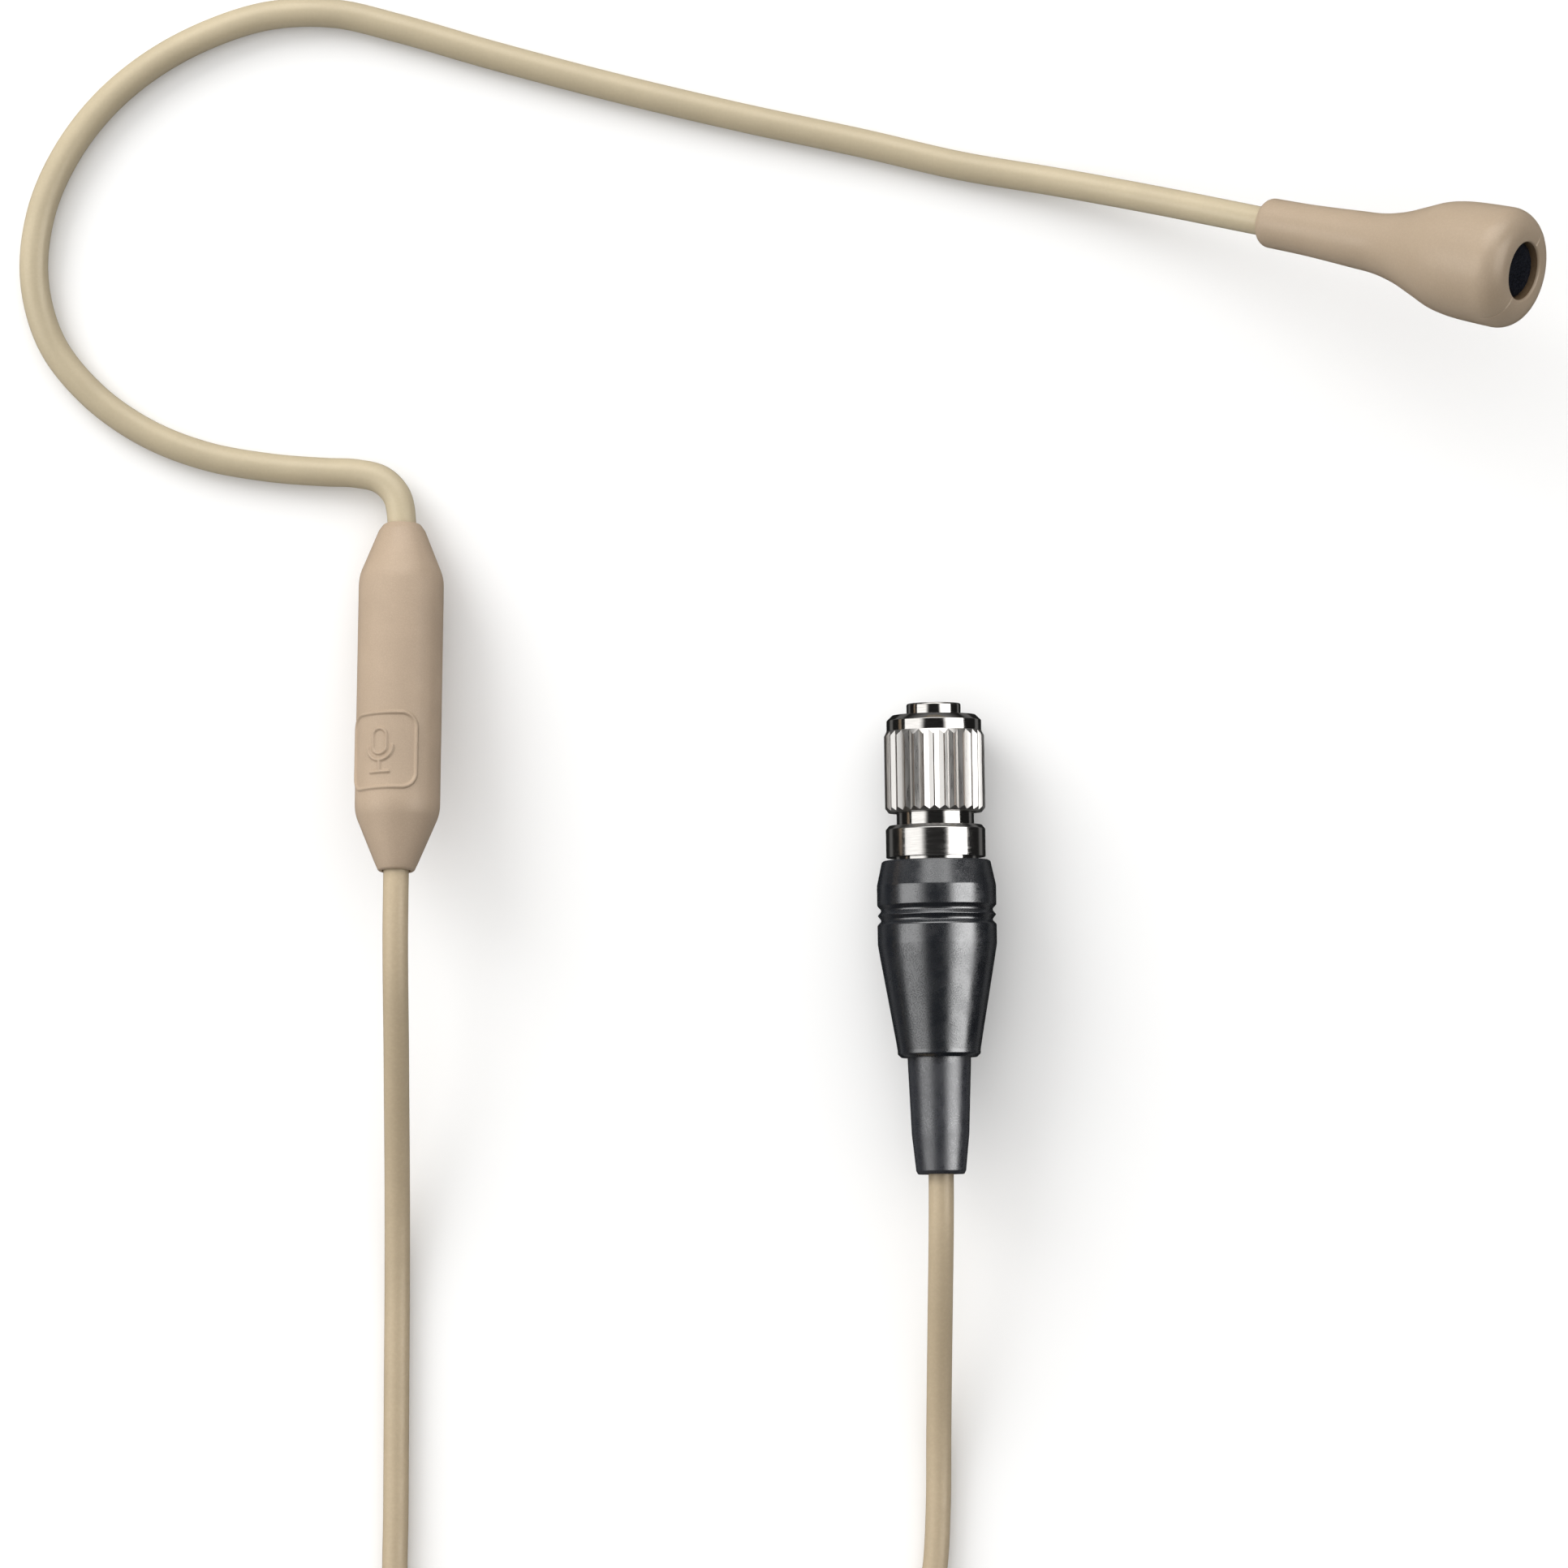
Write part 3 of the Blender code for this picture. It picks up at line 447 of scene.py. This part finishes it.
def shaded(mesh, sharp=50.0):
    """Shade a mesh smooth, with its hard edges kept."""
    mesh.shade_smooth()
    mesh.set_sharp_from_angle(angle=radians(sharp))
    return mesh


def even_normals(made):
    """Let large faces rule the shading, so that flat walls stay flat beside a rounded edge."""
    change = made.modifiers.new("even_normals", "WEIGHTED_NORMAL")
    change.keep_sharp = True


def rounded(corners, steps=5):
    """(radius, height) points in mm of an outline of (radius, height, rounding) corners."""
    points = []
    on_the_axis = corners[0][0] == 0.0 and corners[-1][0] == 0.0
    for index, (radius, height, rounding) in enumerate(corners):
        here = Vector((radius, height))
        if rounding == 0.0 or (on_the_axis and index in (0, len(corners) - 1)):
            points.append(here)
            continue
        before = Vector(corners[index - 1][:2]) - here
        after = Vector(corners[(index + 1) % len(corners)][:2]) - here
        reach = rounding * tan((pi - before.angle(after)) / 2.0)
        reach = min(reach, 0.48 * before.length, 0.48 * after.length)
        start = here + before.normalized() * reach
        end = here + after.normalized() * reach
        for number in range(steps + 1):
            share = number / steps
            points.append(
                start * (1.0 - share) ** 2 + here * 2.0 * share * (1.0 - share) + end * share ** 2
            )
    return [(point.x, point.y) for point in points]


def with_rows(points, low, high, step):
    """Add rows to an outline wherever it runs between two heights, step mm apart."""
    made = []
    for (radius, height), (next_radius, next_height) in zip(points, points[1:] + points[:1]):
        made.append((radius, height))
        if min(height, next_height) < high and max(height, next_height) > low:
            count = ceil(abs(next_height - height) / step)
            for number in range(1, count):
                share = number / count
                made.append((radius + (next_radius - radius) * share,
                             height + (next_height - height) * share))
    return made


def lathe(name, outline, turns=96, shape=None):
    """A closed turned mesh from (radius, height) points in mm: down the outside, up the bore.

    turns is a number of columns or the columns' angles; shape(radius, height, angle) may
    return a changed radius and height.
    """
    angles = np.linspace(0.0, 2.0 * pi, turns, endpoint=False) if isinstance(turns, int) else turns
    radius = np.array([point[0] for point in outline])[:, None] * np.ones(len(angles))
    height = np.array([point[1] for point in outline])[:, None] * np.ones(len(angles))
    angle = np.ones((len(outline), 1)) * angles
    if shape is not None:
        radius, height = shape(radius, height, angle)
    places = np.stack([radius * np.cos(angle), radius * np.sin(angle), height], axis=2) * MM
    rows, columns = radius.shape
    hollow = outline[0][0] > 0.0 or outline[-1][0] > 0.0
    faces = []
    for row in range(rows if hollow else rows - 1):
        below = (row + 1) % rows
        for column in range(columns):
            beside = (column + 1) % columns
            faces.append((row * columns + column, below * columns + column,
                          below * columns + beside, row * columns + beside))
    return closed_mesh(name, places.reshape(-1, 3), faces)


def closed_mesh(name, places, faces):
    """A mesh with its coincident points joined and its faces pointing out."""
    mesh = bpy.data.meshes.new(name)
    mesh.from_pydata([tuple(place) for place in places], [], faces)
    shape = bmesh.new()
    shape.from_mesh(mesh)
    bmesh.ops.remove_doubles(shape, verts=shape.verts, dist=1e-7)
    bmesh.ops.recalc_face_normals(shape, faces=shape.faces)
    shape.to_mesh(mesh)
    shape.free()
    return mesh


def sweep(route, section):
    """The places and faces of a skin: a ring of (across, over) points in mm along a route."""
    along = (route[1] - route[0]).normalized()
    over = (UP - along * UP.dot(along)).normalized()
    places = []
    for index, point in enumerate(route):
        before, after = route[max(index - 1, 0)], route[min(index + 1, len(route) - 1)]
        along = (after - before).normalized()
        over = (over - along * over.dot(along)).normalized()
        across = along.cross(over)
        places += [point + across * (x * MM) + over * (y * MM) for x, y in section]
    count = len(section)
    faces = []
    for row in range(len(route) - 1):
        for column in range(count):
            beside = (column + 1) % count
            faces.append((row * count + column, row * count + beside,
                          (row + 1) * count + beside, (row + 1) * count + column))
    return places, faces


def tube(name, route, outer, inner, sides=40):
    """A tube with a bore: an outer and an inner skin, joined by a flat ring at each end."""
    skins = []
    for radius in (outer, inner):
        turns = [2.0 * pi * number / sides for number in range(sides)]
        skins.append(sweep(route, [(radius * cos(t), radius * sin(t)) for t in turns]))
    places = skins[0][0] + skins[1][0]
    shift = len(skins[0][0])
    faces = list(skins[0][1]) + [tuple(shift + corner for corner in face) for face in skins[1][1]]
    for first in (0, shift - sides):
        for column in range(sides):
            beside = (column + 1) % sides
            faces.append((first + column, first + beside,
                          shift + first + beside, shift + first + column))
    return closed_mesh(name, places, faces)


# ---------------------------------------------------------------- head

HEAD_LENGTH = 29.8
HEAD_KNOTS = (
    (1.0, 2.46), (5.4, 2.55), (10.5, 2.82), (13.5, 3.03), (16.0, 3.60), (18.4, 4.50),
    (20.5, 5.30), (22.6, 5.70), (25.3, 5.87), (27.4, 5.93),
)
SOUND_OPENING_R = 2.87
FOAM_CELL = 0.34
FOAM_CELL_DEPTH = 0.13
PARTING_ANGLES = (radians(-23.0), radians(157.0))
PARTING_DEPTH = 0.07
PARTING_WIDTH = 0.06
PARTING_END = 26.0
FLANK_R = 4.9
FACE_HEIGHT = 28.6
THROAT_HEIGHT = 27.25


def parting_line(radius, height, angle):
    """A fine mould line across the front face, which fades out down both flanks."""
    for place in PARTING_ANGLES:
        off = np.abs((angle - place + pi) % (2.0 * pi) - pi) * radius
        outside = radius > SOUND_OPENING_R + 0.15
        fade = np.clip((height - PARTING_END) / 3.0, 0.0, 1.0)
        depth = outside * fade * PARTING_DEPTH * np.exp(-(off / PARTING_WIDTH) ** 2)
        radius = radius - depth * (radius > FLANK_R)
        height = height - depth * (height > FACE_HEIGHT)
    return radius, height


def fine_near(places, count, reach, extra):
    """Evenly spread angles, with extra ones close to some places."""
    angles = list(np.linspace(0.0, 2.0 * pi, count, endpoint=False))
    for place in places:
        angles = [a for a in angles if abs((a - place + pi) % (2.0 * pi) - pi) > reach * 1.2]
        angles += [(place + share * reach) % (2.0 * pi) for share in np.linspace(-1.0, 1.0, extra)]
    return np.array(sorted(angles))


def make_head():
    """The moulded sleeve that holds the capsule, and the foam in its opening."""
    knots = [Vector((height, radius, 0.0)) for height, radius in HEAD_KNOTS]
    flank = [(point.y, point.x) for point in smooth_route(knots, 0.45)]
    front = [(SOUND_OPENING_R, 27.3, 0.1), (SOUND_OPENING_R, HEAD_LENGTH - 0.05, 0.28),
             (4.2, HEAD_LENGTH, 0.8)]
    corner = []
    for number in range(11):
        turn = radians(84.0 - 84.0 * number / 10.0)
        corner.append((3.53 + 2.4 * cos(turn), 27.4 + 2.4 * sin(turn)))
    rear = []
    for number in range(1, 9):
        turn = radians(-90.0 * number / 8.0)
        rear.append((1.46 + 1.0 * cos(turn), 1.0 + 1.0 * sin(turn)))
    bore = rounded([
        (1.48, 0.0, 0.1), (1.55, 1.2, 0.0), (2.00, 1.3, 0.0), (2.05, 10.0, 0.0), (2.60, 16.0, 0.0),
        (3.30, 20.0, 0.0), (4.30, 20.1, 0.0), (4.30, 27.2, 0.0), (SOUND_OPENING_R, 27.3, 0.1),
        (SOUND_OPENING_R, HEAD_LENGTH - 0.03, 0.25), (3.53, HEAD_LENGTH, 0.0),
    ])
    outline = corner + flank[::-1][1:] + rear + bore
    mesh = lathe("head_sleeve", outline, fine_near(PARTING_ANGLES, 112, 0.05, 9), parting_line)
    add_piece("head_sleeve", shaded(mesh, 60.0), "head", axis=HEAD,
              replaces=["element_cover"])
    # the inside of the opening above THROAT_HEIGHT gets the dark brown: painted shade in the recess
    mesh.materials.append(LOOKS["painted_throat_shade"])
    for face in mesh.polygons:
        inside = face.center.to_2d().length < SOUND_OPENING_R * MM
        if inside and face.center.z > THROAT_HEIGHT * MM:
            face.material_index = 1

    foam_outline = rounded([
        (0.0, 29.45, 0.0), (2.2, 29.25, 0.5), (2.72, 28.85, 0.2), (2.72, 26.9, 0.1),
        (4.0, 26.8, 0.1), (4.0, 24.9, 0.1), (0.0, 24.9, 0.0),
    ])
    fine = []
    for (radius, height), (next_radius, next_height) in zip(foam_outline, foam_outline[1:]):
        count = max(1, ceil(sqrt((next_radius - radius) ** 2 + (next_height - height) ** 2) / 0.07))
        fine += [(radius + (next_radius - radius) * number / count,
                  height + (next_height - height) * number / count) for number in range(count)]
    mesh = lathe("foam_pad", fine + [foam_outline[-1]], 160)
    outward = [vertex.normal.copy() for vertex in mesh.vertices]
    for vertex, normal in zip(mesh.vertices, outward):
        near, next_near = noise.voronoi(vertex.co / (FOAM_CELL * MM))[0][:2]
        wall = min(1.0, (next_near - near) / 0.45)
        vertex.co -= normal * (FOAM_CELL_DEPTH * MM * wall)
    pad = add_piece("foam_pad", shaded(mesh, 180.0), "foam", axis=HEAD,
                    replaces=["foam_windscreen"])


# ---------------------------------------------------------------- boom and ear loop

BOOM_R = 1.43
BOOM_BORE_R = 0.95
EAR_LOOP = (
    (-37.65, -6.15, 2.75), (-39.25, -4.45, 2.35), (-41.8, -3.8, 1.9), (-45.0, -3.65, 1.6),
    (-50.5, -3.2, 1.45), (-57.0, -2.0, 1.45), (-63.0, 0.4, 1.45), (-68.3, 4.2, 1.45),
    (-72.3, 9.3, 1.45), (-74.0, 15.7, 1.45), (-73.3, 22.3, 1.45), (-70.8, 28.1, 1.45),
    (-67.0, 33.1, 1.45), (-62.2, 37.1, 1.45), (-56.6, 40.1, 1.45), (-50.5, 42.0, 1.45),
    (-44.0, 42.2, 1.45), (-37.8, 40.8, 1.45), (-28.4, 38.1, 1.45), (-15.9, 34.8, 1.45),
    (-3.2, 31.8, 1.45), (9.0, 29.2, 1.45), (18.5, 27.0, 1.52),
)


def make_boom():
    """The jacket: out of the barrel, round the ear loop, and up to the head."""
    flat_way = [Vector(point) * MM for point in EAR_LOOP]
    low, high = flat_way[-1], HEAD.translation
    rise_way = []
    for share in (1.0 / 3.0, 2.0 / 3.0):
        point = low.lerp(high, share)
        point.y += 0.35 * MM * sin(pi * share)
        point.z = low.z + (high.z - low.z) * share ** 2
        rise_way.append(point)
    way = [on_axis(BARREL, height) for height in (29.6, 32.6, 34.8)] + flat_way + rise_way
    way += [on_axis(HEAD, height) for height in (-0.5, 4.0, 8.8)]
    mesh = tube("boom_tube", smooth_route(way, 0.45 * MM), BOOM_R, BOOM_BORE_R)
    add_piece("boom_tube", shaded(mesh), "boom", replaces=["boom_jacket"])


# ---------------------------------------------------------------- barrel

MARK_HEIGHT = 11.5
MARK_ANGLE = radians(66.5)
MARK_HALF = 3.75
MARK_CORNER = 1.5
MARK_LINE = 0.14
MARK_RISE = 0.19
MARK_STEP = 0.07
BARREL_R = 4.25


def segment_distance(x, y, start, end):
    """Distance from points to a straight line between two points."""
    dx, dy = end[0] - start[0], end[1] - start[1]
    share = np.clip(((x - start[0]) * dx + (y - start[1]) * dy) / (dx * dx + dy * dy), 0.0, 1.0)
    return np.hypot(x - start[0] - share * dx, y - start[1] - share * dy)


def mark_distance(x, y):
    """Distance in mm from the lines of a small microphone sign in a rounded square."""
    inside = MARK_HALF - MARK_CORNER
    over_x, over_y = np.abs(x) - inside, np.abs(y) - inside
    square = np.hypot(np.maximum(over_x, 0.0), np.maximum(over_y, 0.0))
    square = np.abs(square + np.minimum(np.maximum(over_x, over_y), 0.0) - MARK_CORNER)
    capsule = np.abs(segment_distance(x, y, (0.0, 0.35), (0.0, 1.45)) - 0.72)
    cradle = np.abs(np.hypot(x, y - 0.35) - 1.35)
    ends = np.minimum(np.hypot(x - 1.35, y - 0.35), np.hypot(x + 1.35, y - 0.35))
    cradle = np.where(y > 0.35, ends, cradle)
    stem = segment_distance(x, y, (0.0, -1.0), (0.0, -2.2))
    foot = segment_distance(x, y, (-0.95, -2.2), (0.95, -2.2))
    return np.minimum.reduce([square, capsule, cradle, stem, foot])


def raised_mark(radius, height, angle):
    """Raise the sign's lines on the barrel's side."""
    x = ((angle - MARK_ANGLE + pi) % (2.0 * pi) - pi) * BARREL_R
    away = mark_distance(x, height - MARK_HEIGHT)
    share = np.clip((MARK_LINE + 0.09 - away) / 0.16, 0.0, 1.0)
    rise = MARK_RISE * share * share * (3.0 - 2.0 * share)
    return radius + np.where(radius > BARREL_R - 0.05, rise, 0.0), height


def make_barrel():
    """The moulded barrel: a cone at each end and the raised sign on its side."""
    outline = rounded([
        (1.53, 35.2, 0.1), (1.85, 35.15, 0.4), (2.32, 34.5, 1.5), (BARREL_R, 29.7, 4.5),
        (BARREL_R, 5.9, 4.5), (2.2, 0.95, 1.2), (1.8, 0.05, 0.5), (1.42, 0.0, 0.1), (1.42, 1.2, 0.0),
        (3.6, 6.4, 0.4), (3.6, 29.2, 0.4), (1.53, 34.2, 0.0),
    ], steps=7)
    half = MARK_HALF + 0.4
    outline = with_rows(outline, MARK_HEIGHT - half, MARK_HEIGHT + half, MARK_STEP)
    turns = fine_near([MARK_ANGLE], 96, half / BARREL_R, ceil(2.0 * half / MARK_STEP))
    mesh = lathe("barrel_shell", outline, turns, raised_mark)
    add_piece("barrel_shell", shaded(mesh, 60.0), "barrel", axis=BARREL,
              replaces=["barrel_cover"])


# ---------------------------------------------------------------- plug

PLUG_LENGTH = 46.85
CLAW_HEIGHT = 44.25
FLUTES = 30
FLUTE_DEPTH = 0.25
CREST_SHARE = 0.11
COLLAR_R = 5.0
GRIP_FRONT = 43.6
GRIP_REAR = 36.45
FRONT_SLOPE = 0.54
REAR_SLOPE = 0.76
FRONT_LENGTH = 0.52
REAR_LENGTH = 0.45
RING_R = COLLAR_R - FRONT_LENGTH * FRONT_SLOPE
RING_REAR = GRIP_FRONT + FRONT_LENGTH
COLLAR_BORE_R = 4.2
NECK_R = 4.3
RIDGE_ANGLE = radians(88.5)


def fluted(radius, height, angle):
    """Cut wide V flutes with sharp ridges into the grip, out into the slope at each of its ends."""
    pitch = 2.0 * pi / FLUTES
    off = np.abs((angle - RIDGE_ANGLE + pitch / 2.0) % pitch - pitch / 2.0) / (pitch / 2.0)
    depth = FLUTE_DEPTH * np.clip((off - CREST_SHARE) / (1.0 - CREST_SHARE), 0.0, 1.0)
    front = np.isclose(radius, COLLAR_R) & np.isclose(height, GRIP_FRONT)
    rear = np.isclose(radius, COLLAR_R) & np.isclose(height, GRIP_REAR)
    radius = radius - depth * (front | rear)
    height = height + depth / FRONT_SLOPE * front - depth / REAR_SLOPE * rear
    return radius, height


def make_coupling():
    """The coupling: front ring, fluted grip and the bore that slides on the neck."""
    outline = rounded([
        (4.15, 45.7, 0.1), (RING_R, 45.15, 0.1), (RING_R, RING_REAR, 0.0),
        (COLLAR_R, GRIP_FRONT, 0.0), (COLLAR_R, GRIP_REAR, 0.0),
        (COLLAR_R - REAR_LENGTH * REAR_SLOPE, GRIP_REAR - REAR_LENGTH, 0.0), (3.98, 36.0, 0.1),
        (3.98, 36.8, 0.0), (COLLAR_BORE_R, 36.9, 0.0), (COLLAR_BORE_R, 43.0, 0.0),
        (2.95, 43.0, 0.0), (2.95, 45.7, 0.1),
    ])
    pitch = 2.0 * pi / FLUTES
    crest = CREST_SHARE / 2.0
    steps = (-crest, crest, 0.28, 0.5, 0.72)
    turns = [RIDGE_ANGLE + pitch * (number + step) for number in range(FLUTES) for step in steps]
    mesh = lathe("coupling_grip", outline, np.array(turns), fluted)
    made = add_piece("coupling_grip", shaded(mesh, 18.0), "knurled", body="collar", axis=PLUG,
                     replaces=["coupling_collar"])
    mesh.materials.append(LOOKS["nickel"])
    mesh.materials.append(LOOKS["worn"])
    # index 1 is plain nickel on the front ring and bore; index 2, on the crest faces, is the dark
    # metal: painted shade on the crests
    for face in mesh.polygons:
        reach = face.center.to_2d().length
        if face.center.z > RING_REAR * MM or reach < (COLLAR_BORE_R + 0.1) * MM:
            face.material_index = 1
        elif reach > (COLLAR_R - 0.01) * MM:
            face.material_index = 2
    even_normals(made)


def carved(mesh, tools):
    """The mesh with the tool meshes cut out of it, and the tools removed."""
    holder = bpy.data.objects.new("carving", mesh)
    scene.collection.objects.link(holder)
    cutters = []
    for tool in tools:
        cutter = bpy.data.objects.new("cutter", tool)
        scene.collection.objects.link(cutter)
        change = holder.modifiers.new("cut", "BOOLEAN")
        change.object = cutter
        cutters.append(cutter)
    bpy.context.view_layer.update()
    made = bpy.data.meshes.new_from_object(
        holder.evaluated_get(bpy.context.evaluated_depsgraph_get())
    )
    for used in [holder, *cutters]:
        bpy.data.objects.remove(used, do_unlink=True)
    return made


def block(size, centre):
    """A box mesh, in mm, for carving."""
    mesh = bpy.data.meshes.new("block")
    shape = bmesh.new()
    bmesh.ops.create_cube(shape, size=1.0)
    bmesh.ops.scale(shape, vec=Vector(size) * MM, verts=shape.verts)
    bmesh.ops.translate(shape, vec=Vector(centre) * MM, verts=shape.verts)
    shape.to_mesh(mesh)
    shape.free()
    return mesh


def make_nose():
    """The thin front shell, with its key slot on the under side and its two claw windows."""
    outline = rounded([
        (2.25, PLUG_LENGTH, 0.08), (2.7, PLUG_LENGTH, 0.2), (2.7, 32.6, 0.0), (2.25, 32.6, 0.0),
    ])
    mesh = lathe("nose_shell", with_rows(outline, 33.0, 46.5, 2.0), 120)
    key_slot = block((0.9, 1.2, 2.4), (0.0, -2.5, PLUG_LENGTH))
    windows = block((7.0, 1.3, 1.3), (0.0, 0.0, CLAW_HEIGHT))
    made = add_piece("nose_shell", shaded(carved(mesh, [key_slot, windows]), 35.0), "nickel",
                     axis=PLUG, replaces=["plug_nose"])
    even_normals(made)


def make_rear_shell():
    """The neck that the coupling slides on, and the brushed band behind it."""
    outline = rounded([
        (2.95, 38.5, 0.05), (3.85, 38.5, 0.2), (3.85, 37.8, 0.05), (3.45, 37.8, 0.0),
        (3.45, 37.0, 0.0), (3.85, 37.0, 0.05), (3.85, 34.7, 0.0), (4.62, 34.7, 0.06),
        (4.95, 34.3, 0.12), (4.95, 31.5, 0.1), (4.2, 31.5, 0.0), (4.2, 21.5, 0.1), (2.95, 21.5, 0.1),
    ])
    mesh = lathe("rear_shell_turned", outline, 144)
    made = add_piece("rear_shell_turned", shaded(mesh, 35.0), "nickel", axis=PLUG,
                     replaces=["rear_shell"])
    mesh.materials.append(LOOKS["brushed"])
    for face in mesh.polygons:
        if face.center.to_2d().length > NECK_R * MM:
            face.material_index = 1
    even_normals(made)


def make_boot():
    """The moulded boot, with a ridge between its two grooves, and the sleeve on the cable."""
    outline = rounded([
        (5.22, 31.2, 0.15), (5.42, 31.05, 0.1), (5.93, 28.7, 0.9), (5.93, 26.75, 0.25),
        (5.58, 26.35, 0.12), (5.58, 26.15, 0.12), (5.9, 25.75, 0.12), (5.58, 25.35, 0.12),
        (5.58, 25.15, 0.12), (5.93, 24.8, 0.25), (5.93, 22.9, 0.6), (5.72, 21.6, 0.4),
        (4.42, 14.1, 2.0), (4.13, 12.35, 0.15), (4.13, 11.95, 0.25), (3.75, 11.6, 0.15),
        (3.35, 11.65, 0.1), (3.45, 13.6, 0.0), (4.3, 16.4, 0.0), (4.5, 21.2, 0.0), (4.5, 31.2, 0.0),
    ])
    mesh = lathe("boot_cover", outline, 128)
    made = add_piece("boot_cover", shaded(mesh, 60.0), "boot", axis=PLUG,
                     replaces=["plug_boot"])
    even_normals(made)

    outline = rounded([
        (3.55, 16.0, 0.1), (3.55, 15.0, 0.0), (3.15, 14.3, 0.2), (3.15, 11.2, 0.8), (2.86, 4.0, 2.0),
        (2.48, 0.35, 0.35), (2.3, 0.0, 0.2), (1.45, 0.0, 0.25), (1.45, 16.0, 0.0),
    ])
    mesh = lathe("cable_sleeve", outline, 96)
    made = add_piece("cable_sleeve", shaded(mesh, 60.0), "sleeve", axis=PLUG,
                     replaces=["strain_relief"])
    even_normals(made)


def make_contacts():
    """The insulator and the four gilt pins in it."""
    outline = rounded([(0.0, 45.6, 0.0), (2.05, 45.6, 0.12), (2.05, 36.4, 0.1), (0.0, 36.4, 0.0)])
    spots = []
    for number in range(4):
        turn = radians(45.0 + 90.0 * number)
        spots.append((1.1 * cos(turn), 1.1 * sin(turn)))
    holes = []
    for x, y in spots:
        hole = lathe("hole", [(0.0, 46.5), (0.42, 46.5), (0.42, 36.0), (0.0, 36.0)], 32)
        hole.transform(Matrix.Translation((x * MM, y * MM, 0.0)))
        holes.append(hole)
    mesh = carved(lathe("contact_block", outline, 72), holes)
    add_piece("contact_block", shaded(mesh, 35.0), "insulator", axis=PLUG,
              replaces=["plug_insulator"])
    pin = rounded([
        (0.0, 46.3, 0.0), (0.16, 46.26, 0.12), (0.28, 45.9, 0.3), (0.28, 36.1, 0.0),
        (0.45, 36.1, 0.05), (0.45, 33.9, 0.1), (0.0, 33.9, 0.0),
    ])
    for number, (x, y) in enumerate(spots):
        spot = PLUG @ Matrix.Translation((x * MM, y * MM, 0.0))
        near = min(range(1, 5), key=lambda other: (
            Vector(node_points(f"contact_pin_{other}").mean(axis=0)) - on_axis(spot, 40.0)).length)
        mesh = lathe(f"gilt_contact_{number + 1}", pin, 32)
        add_piece(f"gilt_contact_{number + 1}", shaded(mesh), "gold", axis=spot,
                  replaces=[f"contact_pin_{near}"])


def make_spring():
    """The coupling's spring, copied from its CAD node with a steel finish."""
    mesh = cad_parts["collar_spring"].data.copy()
    mesh.materials.clear()
    mesh.materials.append(LOOKS["steel"])
    made = bpy.data.objects.new("coupling_spring", mesh)
    scene.collection.objects.link(made)
    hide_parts("collar_spring")
    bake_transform(made)


# ---------------------------------------------------------------- strap on the coil

STRAP_WIDTH = 6.0
STRAP_THICK = 0.6


def make_strap():
    """A hook-and-loop strap round the coil, its end laid over its beginning on top."""
    half = STRAP_THICK / 2.0
    corners = [
        (11.5, 11.0, 0.0), (20.1, 11.0, 0.8), (21.1, 4.0, 1.5), (21.1, half, 0.8),
        (8.85, half, 0.8), (8.85, 11.0, 0.9), (11.3, 11.62, 1.0), (19.3, 11.62, 0.0),
    ]
    flat = rounded([(0.0, 11.0, 0.0)] + corners + [(0.0, 11.62, 0.0)])[1:-1]
    turn = Matrix.Rotation(-pi / 2.0, 4, "Z")
    route = [COIL_CENTRE + turn @ Vector((reach, 0.0, height)) * MM for reach, height in flat]
    fine = []
    for first, second in zip(route, route[1:]):
        count = max(1, ceil((second - first).length / (0.4 * MM)))
        fine += [first.lerp(second, number / count) for number in range(count)]
    wide = STRAP_WIDTH / 2.0 - half
    section = [(wide + half * cos(t), half * sin(t)) for t in np.linspace(-pi / 2, pi / 2, 7)]
    section += [(x, half) for x in np.linspace(wide, -wide, 14)[1:-1]]
    section += [(-x, -y) for x, y in section]
    places, faces = sweep(fine + [route[-1]], section)
    count = len(section)
    faces.append(tuple(range(count))[::-1])
    faces.append(tuple(range(len(places) - count, len(places))))
    mesh = closed_mesh("coil_strap", places, faces)
    add_piece("coil_strap", shaded(mesh, 60.0), "strap", replaces=["cable_tie"])


# ---------------------------------------------------------------- finishes of the inner nodes

INNER_LOOKS = {
    "steel": ("capsule_can", "backplate", "head_ferrule", "boom_form_wire", "barrel_screen",
              "collar_stop_ring", "latch_claw_1", "latch_claw_2"),
    "brass": ("diaphragm_ring", "boom_ferrule", "cable_ferrule", "cable_crimp"),
    "gold": ("diaphragm",),
    "board": ("capsule_board", "junction_board"),
    "component": ("capsule_transistor", "filter_capacitor_1", "filter_capacitor_2",
                  "bias_resistor"),
    "white": ("capsule_insulator", "boom_lead_2", "barrel_core_2", "plug_core_2"),
    "red": ("boom_lead_1", "barrel_core_1", "plug_core_1"),
    "yellow": ("plug_core_3",),
    "black": ("capsule_seat", "plug_core_4"),
}


def finish_inner_nodes():
    """Give every carried-over node its material."""
    for look, nodes in INNER_LOOKS.items():
        for node in nodes:
            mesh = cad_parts[node].data
            mesh.materials.clear()
            mesh.materials.append(LOOKS[look])


make_head()
make_boom()
make_barrel()
make_coupling()
make_nose()
make_rear_shell()
make_boot()
make_contacts()
make_spring()
make_strap()
finish_inner_nodes()

cable, cable_length = make_cable()
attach(cable, "headset")
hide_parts("cable_to_coil", "cable_coil", "cable_to_plug")
